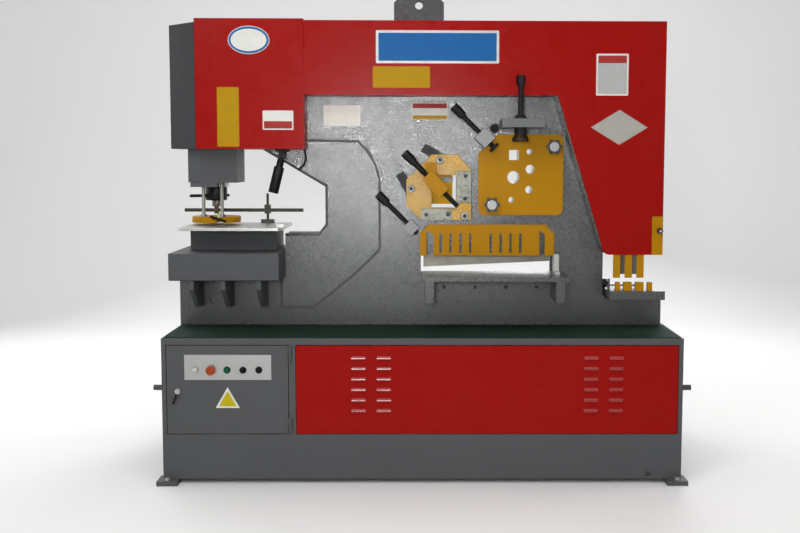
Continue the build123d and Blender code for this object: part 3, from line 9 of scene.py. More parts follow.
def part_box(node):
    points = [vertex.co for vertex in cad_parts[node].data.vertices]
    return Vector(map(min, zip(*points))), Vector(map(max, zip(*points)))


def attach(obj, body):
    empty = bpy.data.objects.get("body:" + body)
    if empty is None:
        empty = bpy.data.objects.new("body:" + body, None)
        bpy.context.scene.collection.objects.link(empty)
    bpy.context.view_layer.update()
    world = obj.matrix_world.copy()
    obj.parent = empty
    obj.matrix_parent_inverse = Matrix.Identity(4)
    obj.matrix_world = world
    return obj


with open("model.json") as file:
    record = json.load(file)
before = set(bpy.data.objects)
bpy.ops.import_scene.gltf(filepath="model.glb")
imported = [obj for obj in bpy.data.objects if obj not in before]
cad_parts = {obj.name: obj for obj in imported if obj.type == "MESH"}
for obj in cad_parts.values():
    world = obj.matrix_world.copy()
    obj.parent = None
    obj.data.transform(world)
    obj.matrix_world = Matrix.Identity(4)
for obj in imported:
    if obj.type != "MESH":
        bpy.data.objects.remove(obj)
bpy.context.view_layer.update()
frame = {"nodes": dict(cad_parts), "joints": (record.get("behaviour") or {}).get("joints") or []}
nodes = frame["nodes"]

# Front faces read from the frame, in metres
foot_reach = 0.045
cover_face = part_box("head_cover")[0].y
plate_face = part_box("frame_plate_front")[0].y
panel_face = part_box("hydraulic_panel")[0].y
door_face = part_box("base_cabinet")[0].y + foot_reach

# Thickness of the bare plates and of the colour fields that lie on them
plate_thickness = 0.0012
line_thickness = 0.0004
field_thickness = 0.0005
oval_field_thickness = 0.0006

# Colours, as linear values that several finishes share
RED = (0.29, 0.0045, 0.003)
YELLOW = (0.41, 0.190, 0.002)
HOLDER_YELLOW = (0.43, 0.235, 0.004)
CABINET = (0.085, 0.087, 0.090)
BODY = (0.092, 0.095, 0.094)
MACHINE = (0.095, 0.098, 0.103)
# End cover grey, made darker than the cabinet grey by painted shade.
END_COVER_SHADED = (0.029, 0.030, 0.032)
STEEL = (0.52, 0.52, 0.50)
WORN = (0.24, 0.25, 0.21)
OILED = (0.20, 0.185, 0.155)
BLACK = (0.010, 0.010, 0.011)
GREEN = (0.007, 0.025, 0.015)
WHITE = (0.66, 0.66, 0.62)
BLUE = (0.012, 0.105, 0.30)
SILVER = (0.42, 0.42, 0.41)
GOLD = (0.40, 0.225, 0.004)

# Specular level of sprayed and moulded surfaces
SOFT_SHINE = 0.07

# Radius of the polished centres of the star knobs and of the side knob
star_core = 0.0215
side_core = 0.005


class Surface:
    """One material: a principled shader and the nodes that feed it."""

    def __init__(self, name, colour, roughness, metallic=0.0):
        self.material = bpy.data.materials.new(name)
        self.material.use_nodes = True
        self.material.diffuse_color = (*colour, 1)
        self.tree = self.material.node_tree
        self.shader = self.tree.nodes["Principled BSDF"]
        self.set(self.shader, {"Base Color": (*colour, 1), "Roughness": roughness, "Metallic": metallic})
        self.place = self.add("ShaderNodeTexCoord").outputs["Object"]

    def set(self, node, inputs):
        """Link a node's inputs to sockets, or give them plain values."""
        for key, value in inputs.items():
            socket = node.inputs[key]
            if isinstance(value, bpy.types.NodeSocket):
                self.tree.links.new(value, socket)
            else:
                socket.default_value = value
        return node

    def add(self, kind, inputs=None, **settings):
        """A new node with its inputs and settings."""
        node = self.tree.nodes.new(kind)
        for key, value in settings.items():
            setattr(node, key, value)
        return self.set(node, inputs or {})

    def noise(self, scale, detail=3.0, roughness=0.55, stretch=None):
        """Noise from 0 to 1 over the piece, its cells 1 / scale metres across."""
        place = self.place
        if stretch:
            place = self.add("ShaderNodeMapping", {"Vector": place, "Scale": stretch}).outputs["Vector"]
        inputs = {"Vector": place, "Scale": scale, "Detail": detail, "Roughness": roughness}
        return self.add("ShaderNodeTexNoise", inputs).outputs["Fac"]

    def step(self, value, low, high):
        """0 below low, 1 above high and a smooth change between."""
        inputs = {"Value": value, "From Min": low, "From Max": high}
        node = self.add("ShaderNodeMapRange", inputs, interpolation_type="SMOOTHSTEP")
        return node.outputs["Result"]

    def scale(self, value, low, high):
        """A value from 0 to 1 spread from low to high."""
        node = self.add("ShaderNodeMapRange", {"Value": value, "To Min": low, "To Max": high})
        return node.outputs["Result"]

    def maths(self, operation, a, b=0.0):
        """Result of one sum on one or two values."""
        return self.add("ShaderNodeMath", {0: a, 1: b}, operation=operation).outputs[0]

    def axis(self, name):
        """One coordinate of the piece at rest."""
        return self.add("ShaderNodeSeparateXYZ", {"Vector": self.place}).outputs[name]

    def blend(self, amount, first, second):
        """Colour that goes from the first to the second."""
        node = self.add("ShaderNodeMix", data_type="RGBA")
        self.tree.links.new(amount, node.inputs["Factor"])
        for socket, value in ((node.inputs[6], first), (node.inputs[7], second)):
            if isinstance(value, bpy.types.NodeSocket):
                self.tree.links.new(value, socket)
            else:
                socket.default_value = (*value, 1)
        return node.outputs[2]

    def bump(self, height, strength, distance):
        """Relief from a height, laid over any relief that is there."""
        inputs = {"Height": height, "Strength": strength, "Distance": distance}
        if self.shader.inputs["Normal"].is_linked:
            inputs["Normal"] = self.shader.inputs["Normal"].links[0].from_socket
        node = self.add("ShaderNodeBump", inputs)
        self.set(self.shader, {"Normal": node.outputs["Normal"]})

    def finish(self, **inputs):
        """Feed the shader: colour, rough and metal."""
        names = {"colour": "Base Color", "rough": "Roughness", "metal": "Metallic"}
        self.set(self.shader, {names[key]: value for key, value in inputs.items()})
        return self.material


def shade(colour, amount):
    """A darker or lighter copy of a colour."""
    return tuple(min(1.0, part * amount) for part in colour)


def enamel(name, colour, gloss=0.3, dirt=0.3, mottle=0.10):
    """Sprayed enamel with orange peel, slow change of tone, soft dust and fine dull rubs."""
    s = Surface(name, colour, gloss)
    s.shader.inputs["Specular IOR Level"].default_value = SOFT_SHINE
    tone = s.blend(s.noise(2.2, 4), shade(colour, 1 - mottle), shade(colour, 1 + mottle))
    tone = s.blend(s.scale(s.noise(40, 3), 0, 0.5), tone, shade(colour, 0.9))
    dust = s.maths("MULTIPLY", s.step(s.noise(5, 7, 0.6), 0.45, 0.85), dirt)
    mixed = s.blend(dust, tone, tuple(0.8 * part + 0.02 for part in colour))
    rub = s.step(s.noise(30, 7, 0.72, (1, 1, 4)), 0.62, 0.80)
    mixed = s.blend(s.maths("MULTIPLY", rub, dirt * 0.4), mixed, shade(colour, 0.72))
    satin = s.scale(s.noise(9, 4), gloss - 0.05, gloss + 0.09)
    rough = s.maths("ADD", satin, s.maths("MULTIPLY", rub, 0.12))
    s.bump(s.noise(420, 2), 0.10, 0.0005)
    s.bump(s.noise(14, 2), 0.10, 0.002)
    return s.finish(colour=mixed, rough=rough)


def hammered(name, colour, metallic=0.5, rough=0.25, painted_foot_shade=0.35, gloss=1.0):
    """Glossy hammered paint: light and dark dimples of some 6 mm, painted into the colour as glints and
    shade beside the bump, smoother towards the base and darker there by painted shade.
    """
    dimples_per_metre = 165.0
    shade_top, shade_foot = 1.35, 0.66
    s = Surface(name, colour, rough, metallic)
    s.shader.inputs["Specular IOR Level"].default_value = gloss
    inputs = {"Vector": s.place, "Scale": dimples_per_metre, "Randomness": 1.0}
    dimples = s.add("ShaderNodeTexVoronoi", inputs)
    chance = s.add("ShaderNodeSeparateColor", {"Color": dimples.outputs["Color"]})
    tone = s.blend(s.noise(3, 4), shade(colour, 0.88), shade(colour, 1.12))
    # Painted shade: from shade_top down to shade_foot the colour darkens and the light flecks fade, standing
    # in for light that falls off downwards.
    low = s.step(s.axis("Z"), shade_top, shade_foot)
    fleck = s.scale(low, 1.0, 0.2)
    # Light flecks are partly flake tone and partly painted glints; dark flecks are painted shade in the
    # pits.
    light = s.maths("MULTIPLY", s.step(chance.outputs["Red"], 0.6, 1.0), fleck)
    dark = s.maths("MULTIPLY", s.step(chance.outputs["Green"], 0.7, 1.0), 0.3)
    tone = s.blend(light, tone, shade(colour, 1.45))
    tone = s.blend(s.maths("MULTIPLY", dark, fleck), tone, shade(colour, 0.5))
    # Painted shade, darker towards the base.
    tone = s.blend(s.maths("MULTIPLY", low, painted_foot_shade), tone, shade(colour, 0.40))
    s.bump(s.maths("MULTIPLY", dimples.outputs["Distance"], fleck), 0.45, 0.0012)
    s.bump(s.noise(70, 2, 0.5), 0.35, 0.0012)
    spread = s.maths("MULTIPLY", s.scale(chance.outputs["Blue"], -0.12, 0.12), fleck)
    return s.finish(colour=tone, rough=s.maths("ADD", spread, rough + 0.04))


def metal(name, colour, rough=0.3, brushed=None, stain=0.3):
    """Bare metal with grinding marks along one axis and oil stains."""
    s = Surface(name, colour, rough, 1.0)
    stretch = brushed or (1, 40, 40)
    marks = s.noise(60, 4, 0.7, stretch)
    tone = s.blend(marks, shade(colour, 0.78), shade(colour, 1.12))
    spots = s.step(s.noise(18, 6, 0.65), 0.52, 0.72)
    tone = s.blend(s.maths("MULTIPLY", spots, stain), tone, (0.09, 0.07, 0.045))
    s.bump(marks, 0.12, 0.0004)
    return s.finish(colour=tone, rough=s.scale(s.noise(30, 4), rough - 0.08, rough + 0.22))


def worn_steel(name, streak):
    """Blade steel blotched with grime and rust, with bright scrapes across it."""
    s = Surface(name, WORN, 0.38, 1.0)
    tone = s.blend(s.noise(55, 6, 0.7), (0.06, 0.06, 0.05), (0.32, 0.33, 0.28))
    grime = s.step(s.noise(75, 5, 0.7), 0.50, 0.62)
    tone = s.blend(s.maths("MULTIPLY", grime, 0.8), tone, (0.045, 0.038, 0.028))
    scrape = s.step(s.noise(90, 4, 0.7, streak), 0.60, 0.72)
    tone = s.blend(s.maths("MULTIPLY", scrape, 0.6), tone, (0.62, 0.62, 0.58))
    s.bump(grime, 0.3, 0.0005)
    return s.finish(colour=tone, rough=s.scale(s.noise(50, 4), 0.25, 0.6))


def thread(s, pitch, direction):
    """Ridges along a screw's own axis."""
    along = s.add("ShaderNodeVectorMath", {0: s.place, 1: direction}, operation="DOT_PRODUCT")
    return s.maths("SINE", s.maths("MULTIPLY", along.outputs["Value"], 2 * math.pi / pitch))


def black_oxide(name, direction):
    """Blackened screw steel with a fine thread, greasy and slightly brown where it rubs."""
    pitch = 0.0035
    s = Surface(name, BLACK, 0.42, 0.6)
    s.bump(thread(s, pitch, direction), 0.6, 0.0010)
    rub = s.step(s.noise(40, 4), 0.55, 0.75)
    tone = s.blend(s.maths("MULTIPLY", rub, 0.6), BLACK, (0.05, 0.032, 0.02))
    return s.finish(colour=tone, rough=s.scale(s.noise(80, 3), 0.3, 0.55))


def plastic(name, colour, rough=0.35):
    """Moulded plastic with a faint grain."""
    s = Surface(name, colour, rough)
    s.shader.inputs["Specular IOR Level"].default_value = SOFT_SHINE
    s.bump(s.noise(700, 2), 0.08, 0.0003)
    tone = s.blend(s.noise(25, 3), shade(colour, 0.88), shade(colour, 1.1))
    return s.finish(colour=tone, rough=s.scale(s.noise(40, 3), rough - 0.05, rough + 0.1))


def louvre_lip(name):
    """Red enamel of the louvre hoods, smooth along the rolled crest of each hood."""
    hood_pitch = 0.046
    hood_height = 0.012
    waver = 0.0012
    s = Surface(name, RED, 0.4)
    s.shader.inputs["Specular IOR Level"].default_value = 0.8
    vertices = nodes["hydraulic_panel"].data.vertices
    top = max(v.co.z for v in vertices if v.co.y < panel_face + 0.0001) + hood_height
    height = s.maths("SUBTRACT", s.axis("Z"), s.scale(s.noise(60, 2), top - waver, top + waver))
    phase = s.maths("FRACT", s.maths("MULTIPLY", height, -1 / hood_pitch))
    crest = s.maths("MULTIPLY", s.step(phase, 0.12, 0.15), s.step(phase, 0.22, 0.19))
    s.bump(s.noise(35, 2), 0.25, 0.002)
    tone = s.blend(s.noise(40, 3), shade(RED, 0.85), shade(RED, 1.1))
    return s.finish(colour=tone, rough=s.scale(crest, 0.55, 0.12))


def ribbed_mat(name):
    """Green mat with fine ribs, worn and dusty in places."""
    rib_pitch = 0.006
    s = Surface(name, GREEN, 0.75)
    s.shader.inputs["Specular IOR Level"].default_value = 0.15
    ribs = s.maths("SINE", s.maths("MULTIPLY", s.axis("Y"), 2 * math.pi / rib_pitch))
    s.bump(ribs, 0.6, 0.0015)
    s.bump(s.noise(160, 4), 0.3, 0.001)
    dust = s.step(s.noise(5, 7, 0.7), 0.46, 0.78)
    tone = s.blend(s.noise(12, 5), shade(GREEN, 0.7), shade(GREEN, 1.35))
    tone = s.blend(s.maths("MULTIPLY", dust, 0.3), tone, (0.035, 0.045, 0.036))
    return s.finish(colour=tone, rough=s.scale(s.noise(30, 4), 0.6, 0.9))


def star_finish(name, node, core_radius):
    """Black knob with a polished centre."""
    low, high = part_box(node)
    s = Surface(name, BLACK, 0.4)
    middle = ((low.x + high.x) / 2, 0, (low.z + high.z) / 2)
    offset = s.add("ShaderNodeVectorMath", {0: s.place, 1: middle}, operation="SUBTRACT").outputs["Vector"]
    flat = s.add("ShaderNodeVectorMath", {0: offset, 1: (1, 0, 1)}, operation="MULTIPLY").outputs["Vector"]
    radius = s.add("ShaderNodeVectorMath", {0: flat}, operation="LENGTH").outputs["Value"]
    core = s.step(radius, core_radius, core_radius - 0.0006)
    s.bump(s.noise(500, 2), 0.08, 0.0004)
    bright = s.blend(s.noise(160, 3), (0.62, 0.62, 0.60), (0.85, 0.85, 0.83))
    tone = s.blend(core, BLACK, bright)
    return s.finish(colour=tone, rough=s.scale(core, 0.42, 0.14), metal=core)


def electric_finish(name):
    """Zinc plate with pale and dark plastic switchgear in front of it."""
    gear_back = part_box("electric_plate")[1].y - 0.0035
    dark_foot = 0.30
    s = Surface(name, SILVER, 0.4)
    gear = s.step(s.axis("Y"), gear_back, gear_back - 0.0005)
    dark = s.maths("MULTIPLY", gear, s.step(s.axis("Z"), dark_foot, dark_foot + 0.01))
    tone = s.blend(s.noise(60, 5), shade(SILVER, 0.7), shade(SILVER, 1.1))
    tone = s.blend(gear, tone, (0.42, 0.43, 0.40))
    tone = s.blend(s.maths("MULTIPLY", dark, s.step(s.noise(9, 1), 0.45, 0.46)), tone, (0.05, 0.05, 0.055))
    return s.finish(colour=tone, rough=s.scale(s.noise(30, 4), 0.35, 0.5), metal=s.scale(gear, 0.8, 0.0))


def dress(node, material, bevel):
    """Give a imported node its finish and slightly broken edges."""
    same_plane = math.radians(0.5)
    edge_turn = math.radians(34)
    piece = nodes[node]
    piece.data.materials.clear()
    piece.data.materials.append(material)
    if bevel:
        weld = piece.modifiers.new("weld", "WELD")
        weld.merge_threshold = 0.00001
        flat = piece.modifiers.new("flat", "DECIMATE")
        flat.decimate_type = "DISSOLVE"
        flat.delimit = {"MATERIAL"}
        flat.angle_limit = same_plane
        edge = piece.modifiers.new("edge", "BEVEL")
        edge.width = bevel
        edge.segments = 2
        edge.limit_method = "ANGLE"
        edge.angle_limit = edge_turn
        edge.use_clamp_overlap = True
        edge.harden_normals = True


def paint(node, material, test):
    """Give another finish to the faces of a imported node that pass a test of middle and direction."""
    mesh = nodes[node].data
    mesh.materials.append(material)
    slot = len(mesh.materials) - 1
    for face in mesh.polygons:
        if test(face.center, face.normal):
            face.material_index = slot


def solid_boxes(mesh):
    """Lowest and highest corner of the separate solid that each face belongs to."""
    keys = {}
    places = [tuple(round(part, 5) for part in vertex.co) for vertex in mesh.vertices]
    ids = [keys.setdefault(place, len(keys)) for place in places]
    leader = list(range(len(keys)))

    def first(item):
        while leader[item] != item:
            leader[item] = leader[leader[item]]
            item = leader[item]
        return item

    for face in mesh.polygons:
        start = first(ids[face.vertices[0]])
        for vertex in face.vertices[1:]:
            leader[first(ids[vertex])] = start
    corners = {}
    for vertex, key in zip(mesh.vertices, ids):
        corners.setdefault(first(key), []).append(vertex.co)
    boxes = {key: (Vector(map(min, zip(*group))), Vector(map(max, zip(*group))))
             for key, group in corners.items()}
    return [boxes[first(ids[face.vertices[0]])] for face in mesh.polygons]


def mesh_piece(name, shape, material, body, bevel=0.0):
    """A new piece from a bmesh, riding on a body."""
    bmesh.ops.recalc_face_normals(shape, faces=shape.faces)
    mesh = bpy.data.meshes.new(name)
    shape.to_mesh(mesh)
    shape.free()
    for face in mesh.polygons:
        face.use_smooth = True
    piece = bpy.data.objects.new(name, mesh)
    bpy.context.scene.collection.objects.link(piece)
    mesh.materials.append(material)
    mesh.set_sharp_from_angle(angle=math.radians(35))
    if bevel:
        edge = piece.modifiers.new("edge", "BEVEL")
        edge.width = bevel
        edge.segments = 1
        edge.limit_method = "ANGLE"
        edge.harden_normals = True
    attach(piece, body)


def outline_slab(points, y_front, y_back):
    """Slab from an outline in X and Z."""
    shape = bmesh.new()
    front = [shape.verts.new((x, y_front, z)) for x, z in points]
    back = [shape.verts.new((x, y_back, z)) for x, z in points]
    shape.faces.new(front)
    shape.faces.new(back[::-1])
    for index in range(len(points)):
        after = (index + 1) % len(points)
        shape.faces.new([front[after], front[index], back[index], back[after]])
    return shape


def rounded(x_lo, x_hi, z_lo, z_hi, radius, steps=5):
    """Rectangle with round corners, as outline points."""
    points = []
    left, right, foot, top = x_lo + radius, x_hi - radius, z_lo + radius, z_hi - radius
    for x, z, start in ((right, top, 0), (left, top, 90), (left, foot, 180), (right, foot, 270)):
        for step in range(steps + 1):
            turn = math.radians(start + 90 * step / steps)
            points.append((x + radius * math.cos(turn), z + radius * math.sin(turn)))
    return points


def ellipse(x, z, half_width, half_height, steps=40):
    """Ellipse as outline points."""
    turns = [2 * math.pi * step / steps for step in range(steps)]
    return [(x + half_width * math.cos(turn), z + half_height * math.sin(turn)) for turn in turns]


def plate(name, points, face, material, body="root", thickness=plate_thickness):
    """Thin bare plate on a surface."""
    edge = 0.0004
    mesh_piece(name, outline_slab(points, face - thickness, face), material, body, edge)


materials = {
    "cabinet": enamel("cabinet_enamel", CABINET, 0.42, 0.35),
    "red": enamel("red_enamel", RED, 0.26, 0.08, 0.08),
    "lip": louvre_lip("louvre_lip_enamel"),
    "yellow": enamel("yellow_enamel", YELLOW, 0.34, 0.08, 0.10),
    "yellow_hammered": hammered("yellow_hammered_paint", HOLDER_YELLOW, 0.0, 0.27, 0.0, 0.5),
    "machine": enamel("machine_enamel", MACHINE, 0.42, 0.3),
    # The end cover's enamel carries painted shade in its dark grey.
    "end_cover": enamel("end_cover_enamel_painted_shade", END_COVER_SHADED, 0.45, 0.3),
    "bolster": enamel("bolster_enamel", shade(MACHINE, 0.85), 0.45, 0.3),
    "body": hammered("hammered_paint", BODY),
    "lug": hammered("lug_paint", shade(MACHINE, 0.6), 0.1, 0.5, 0.0, 0.4),
    "steel": metal("ground_steel", STEEL, 0.26, (1, 40, 40), 0.15),
    "turned": metal("turned_steel", STEEL, 0.24, (40, 40, 1), 0.12),
    "dull": metal("dull_steel", WORN, 0.36, (1, 30, 30), 0.35),
    "worn": worn_steel("worn_blade_steel", (12, 12, 1)),
    "edge": metal("blade_edge_steel", (0.27, 0.26, 0.26), 0.42, (1, 30, 30), 0.4),
    "cap": metal("cap_screw_steel", (0.46, 0.46, 0.44), 0.42, (40, 1, 40), 0.2),
    "gauge": metal("gauge_steel", (0.050, 0.048, 0.040), 0.40, (1, 30, 30), 0.5),
    # Yellow of the moving block, far lighter than the other yellow paint: painted light in its recess behind
    # the window.
    "block": enamel("block_enamel_painted_light", (0.86, 0.44, 0.005), 0.34, 0.05, 0.10),
    "bracket": enamel("bracket_enamel", (0.15, 0.155, 0.155), 0.40, 0.2),
    "nut_block": enamel("nut_block_enamel", (0.30, 0.305, 0.30), 0.35, 0.2),
    "oiled": metal("oiled_steel", OILED, 0.34, (1, 40, 40), 0.5),
    "silver": metal("satin_plate", SILVER, 0.40, (1, 60, 60), 0.05),
    "mat": ribbed_mat("green_mat"),
    "upright_screw": black_oxide("upright_screw_finish", (0, 0, 1)),
    "slant_screw": black_oxide("slant_screw_finish", (0.7071, 0, -0.7071)),
    "black_steel": metal("black_steel", (0.02, 0.02, 0.021), 0.4, (1, 20, 20), 0.3),
    "pad": metal("screw_pad_steel", (0.045, 0.026, 0.016), 0.42, (1, 20, 20), 0.5),
    "dark_paint": enamel("dark_paint", (0.045, 0.047, 0.052), 0.45, 0.3),
    # Groove colour, lighter than the body paint: painted light that lifts the groove's shade.
    "seam": enamel("seam_paint_painted_light", (0.12, 0.122, 0.125), 0.5, 0.2),
    "black": plastic("black_plastic", BLACK, 0.4),
    "red_plastic": plastic("red_plastic", (0.33, 0.054, 0.020), 0.3),
    "green_plastic": plastic("green_plastic", (0.006, 0.085, 0.045), 0.3),
    "lens": plastic("lens_plastic", (0.50, 0.51, 0.48), 0.2),
    "rubber": plastic("cable_rubber", (0.012, 0.012, 0.012), 0.55),
    "cream": plastic("cream_plastic", (0.55, 0.50, 0.28), 0.35),
    "white": plastic("white_plate", WHITE, 0.4),
    # A lighter copy of the white plate colour: painted light on the plate that sits in the glare on the side
    # plate.
    "bright": plastic("white_plate_painted_light", (0.86, 0.84, 0.76), 0.4),
    "grey": plastic("grey_plate", (0.40, 0.40, 0.39), 0.4),
    "beige": plastic("beige_plate", (0.36, 0.35, 0.31), 0.35),
    "lemon": plastic("lemon_plate", (0.48, 0.38, 0.010), 0.4),
    "blue": plastic("blue_plate", BLUE, 0.35),
    "plate_yellow": plastic("yellow_plate", GOLD, 0.4),
    "plate_red": plastic("red_plate", (0.33, 0.035, 0.03), 0.4),
    "electric": electric_finish("switchgear_finish"),
    "knob_low": star_finish("knob_low_finish", "star_knob_low", star_core),
    "knob_high": star_finish("knob_high_finish", "star_knob_high", star_core),
    "knob_side": star_finish("knob_side_finish", "side_knob", side_core),
}

finishes = {
    "base_cabinet": ("cabinet", 0.003), "deck_mat": ("mat", 0.001),
    "hydraulic_panel": ("red", 0.0015), "electric_plate": ("electric", 0.001),
    "oil_tank": ("machine", 0.003), "pump_motor": ("machine", 0.002),
    "valve_block": ("machine", 0.0015), "frame_plate_front": ("body", 0.0025),
    "frame_plate_back": ("body", 0.0025), "frame_spacers": ("body", 0.001),
    "lifting_lug": ("lug", 0.003), "ram_guide": ("machine", 0.002),
    "punch_cylinder": ("machine", 0.002), "bolster": ("bolster", 0.003),
    "die_holder": ("bolster", 0.002), "punch_die": ("oiled", 0.001),
    "punch_table": ("steel", 0.001), "lamp_bracket": ("black_steel", 0.001),
    "lamp_cable": ("rubber", 0), "pivot_pin": ("turned", 0.002), "fixed_blades": ("steel", 0.0008),
    "shear_cylinder": ("machine", 0.002), "head_cover": ("red", 0.0012),
    "head_end_cover": ("end_cover", 0.0012), "beam_cover": ("red", 0.0012),
    "rear_cover": ("red", 0.0012), "angle_plate": ("yellow_hammered", 0.0015),
    "angle_clamp": ("yellow", 0.002), "section_plate": ("yellow", 0.0015),
    "screw_brackets": ("nut_block", 0.002), "screws": ("turned", 0.0006),
    "flat_guard": ("yellow", 0.0015), "shear_table": ("body", 0.0018),
    "notch_table": ("body", 0.0018), "notch_guard": ("yellow", 0.0015),
    "electric_door": ("cabinet", 0.0015), "control_plate": ("silver", 0.0008),
    "signal_lamp": ("lens", 0.0006), "door_latch": ("turned", 0.001),
    "emergency_stop": ("red_plastic", 0.0008), "start_button": ("green_plastic", 0.0005),
    "mode_selector": ("black", 0.0008), "stroke_selector": ("black", 0.0008),
    "punch_ram": ("turned", 0.0015), "punch_nut": ("black_steel", 0.001),
    "punch_tool": ("oiled", 0.0008), "stripper_plate": ("yellow", 0.001),
    "shear_beam": ("machine", 0.0025), "moving_blades": ("steel", 0.0008),
    "shear_piston": ("turned", 0.0015), "work_lamp": ("black_steel", 0.001),
    "punch_gauge": ("gauge", 0.0008), "section_screw": ("upright_screw", 0.001),
    "corner_screw": ("slant_screw", 0.001), "angle_screw": ("slant_screw", 0.001),
    "flat_screw": ("slant_screw", 0.001), "star_knob_low": ("knob_low", 0.0012),
    "star_knob_high": ("knob_high", 0.0012), "side_knob": ("knob_side", 0.0006),
    "notch_knob": ("black_steel", 0.0008),
}
for node, (finish, bevel) in finishes.items():
    dress(node, materials[finish], bevel)


def second_finishes():
    """Parts of a node that are painted, blackened or polished apart from the rest."""
    ring_lo, ring_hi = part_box("stripper_plate")
    ring_top, lever_front = 1.139, -0.1125
    peg_x, peg_half = (ring_lo.x + ring_hi.x) / 2 + 0.027, 0.009
    paint("stripper_plate", materials["dull"], lambda c, n: c.z > ring_top)
    paint("stripper_plate", materials["black"], lambda c, n: c.y < lever_front)
    paint("stripper_plate", materials["cream"],
          lambda c, n: c.z > ring_top - 0.008 and abs(c.x - peg_x) < peg_half and c.y > lever_front - 0.0025)
    strap_front, strap_back = -0.1035, -0.0875
    paint("angle_plate", materials["dark_paint"], lambda c, n: strap_front < c.y < strap_back)
    blade_front, flat_top, angle_right = -0.1205, 1.10, 0.25
    paint("fixed_blades", materials["edge"],
          lambda c, n: c.y > blade_front and c.x < angle_right and c.z > flat_top)
    paint("fixed_blades", materials["worn"], lambda c, n: c.y < blade_front)
    paint("fixed_blades", materials["oiled"], lambda c, n: c.z < flat_top)
    block_right, block_foot, block_top = 0.2, 1.12, 1.5
    # The moving block inside the angle window gets the lightened yellow, painted light that lifts its
    # recess.
    paint("moving_blades", materials["block"],
          lambda c, n: c.x < block_right and block_foot < c.z < block_top)
    paint("moving_blades", materials["oiled"], lambda c, n: c.z < flat_top)
    shelf_left, shelf_foot, nut_foot = 0.34, 1.5, 1.5845
    paint("screw_brackets", materials["bracket"], lambda c, n: c.z > shelf_foot and c.x > shelf_left)
    paint("screw_brackets", materials["black_steel"], lambda c, n: c.z > nut_foot)
    pad_top = 1.520
    paint("section_screw", materials["pad"], lambda c, n: c.z < pad_top)
    # The groove gets the lightened seam colour, painted light against its own shade.
    groove_front, groove_back = plate_face + 0.0005, plate_face + 0.0065
    paint("frame_plate_front", materials["seam"], lambda c, n: groove_front < c.y < groove_back)
    paint("hydraulic_panel", materials["lip"], lambda c, n: n.z > 0.4 and n.y < -0.6)
    boss_radius, boss_reach = 0.012, 0.0125
    latch_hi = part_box("door_latch")[1]
    boss_x, boss_z = latch_hi.x - boss_radius, latch_hi.z - boss_radius
    paint("door_latch", materials["black_steel"],
          lambda c, n: math.hypot(c.x - boss_x, c.z - boss_z) > boss_reach)
    collar = door_face - 0.0025
    lamp_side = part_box("signal_lamp")[1].x + 0.015
    paint("control_plate", materials["black"], lambda c, n: c.y < collar and c.x > lamp_side)
    paint("control_plate", materials["dull"], lambda c, n: c.y < collar and c.x < lamp_side)
    blade_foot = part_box("shear_table")[1].z - 0.0895
    paint("shear_table", materials["steel"], lambda c, n: c.z > blade_foot)


def ring_pieces(name, places, width, material):
    """Thin rings that lie on round faces, each place being middle, radius and front."""
    sides = 32
    rise = 0.0004
    shape = bmesh.new()
    for x, z, radius, front in places:
        loops = []
        for depth, size in ((0.0, radius), (rise, radius), (rise, radius - width), (0.0, radius - width)):
            circle = ellipse(x, z, size, size, sides)
            loops.append([shape.verts.new((px, front - depth, pz)) for px, pz in circle])
        for first, second in zip(loops, loops[1:] + loops[:1]):
            for index in range(sides):
                after = (index + 1) % sides
                shape.faces.new([first[index], first[after], second[after], second[index]])
    mesh_piece(name, shape, material, "root")


def paint_cap_screws():
    """Bright faces, dark rings and sockets painted black as shade on the large cap screws, blackened small
    ones.
    """
    anchor_top = 0.3
    large_head = (0.03, 0.04)
    front_depth = 0.0002
    ring_width = 0.0032
    ring_inset = 0.0008
    mesh = nodes["screws"].data
    mesh.materials[0] = materials["cap"]
    large_heads = {}
    bright, dark, socket = 0, 1, 2
    for finish in ("black_steel", "black"):
        mesh.materials.append(materials[finish])
    for face, (low, high) in zip(mesh.polygons, solid_boxes(mesh)):
        middle = (low + high) / 2
        if middle.z < anchor_top:
            continue
        inward = face.normal.x * (face.center.x - middle.x) + face.normal.z * (face.center.z - middle.z) < 0
        in_front = face.center.y < low.y + front_depth
        large = large_head[0] < high.x - low.x < large_head[1]
        if large and in_front:
            face.material_index = bright
            radius = (high.x - low.x) / 2
            large_heads[round(middle.x, 3)] = (middle.x, middle.z, radius - ring_inset, low.y)
            continue
        # Faces inside the socket are coloured black plastic: painted shade in the recess.
        shaded_socket = inward or not in_front and face.normal.y < -0.9
        face.material_index = socket if shaded_socket else dark
    ring_pieces("screw_rings", large_heads.values(), ring_width, materials["black_steel"])


second_finishes()
paint_cap_screws()


def rivets(name, places, face, material, radius=0.0032):
    """Low round rivet heads on a surface."""
    sides = 12
    height = 0.6 * radius
    shape = bmesh.new()
    for x, z in places:
        rings = []
        for step in range(4):
            turn = math.radians(22 * step)
            size = radius * math.cos(turn)
            rings.append([shape.verts.new((px, face - height * math.sin(turn), pz))
                          for px, pz in ellipse(x, z, size, size, sides)])
        for inner, outer in zip(rings[1:], rings):
            for index in range(sides):
                after = (index + 1) % sides
                shape.faces.new([outer[index], outer[after], inner[after], inner[index]])
        shape.faces.new(rings[-1])
    mesh_piece(name, shape, material, "root")


def inset(area, margin, low=None, high=None):
    """Area in X and Z made smaller by a margin, with another foot or top where one is given."""
    x_lo, x_hi, z_lo, z_hi = area
    return (x_lo + margin, x_hi - margin, z_lo + margin if low is None else low,
            z_hi - margin if high is None else high)


def triangle(x, foot, half_width, height):
    """Upright triangle as outline points."""
    return [(x, foot + height), (x - half_width, foot), (x + half_width, foot)]


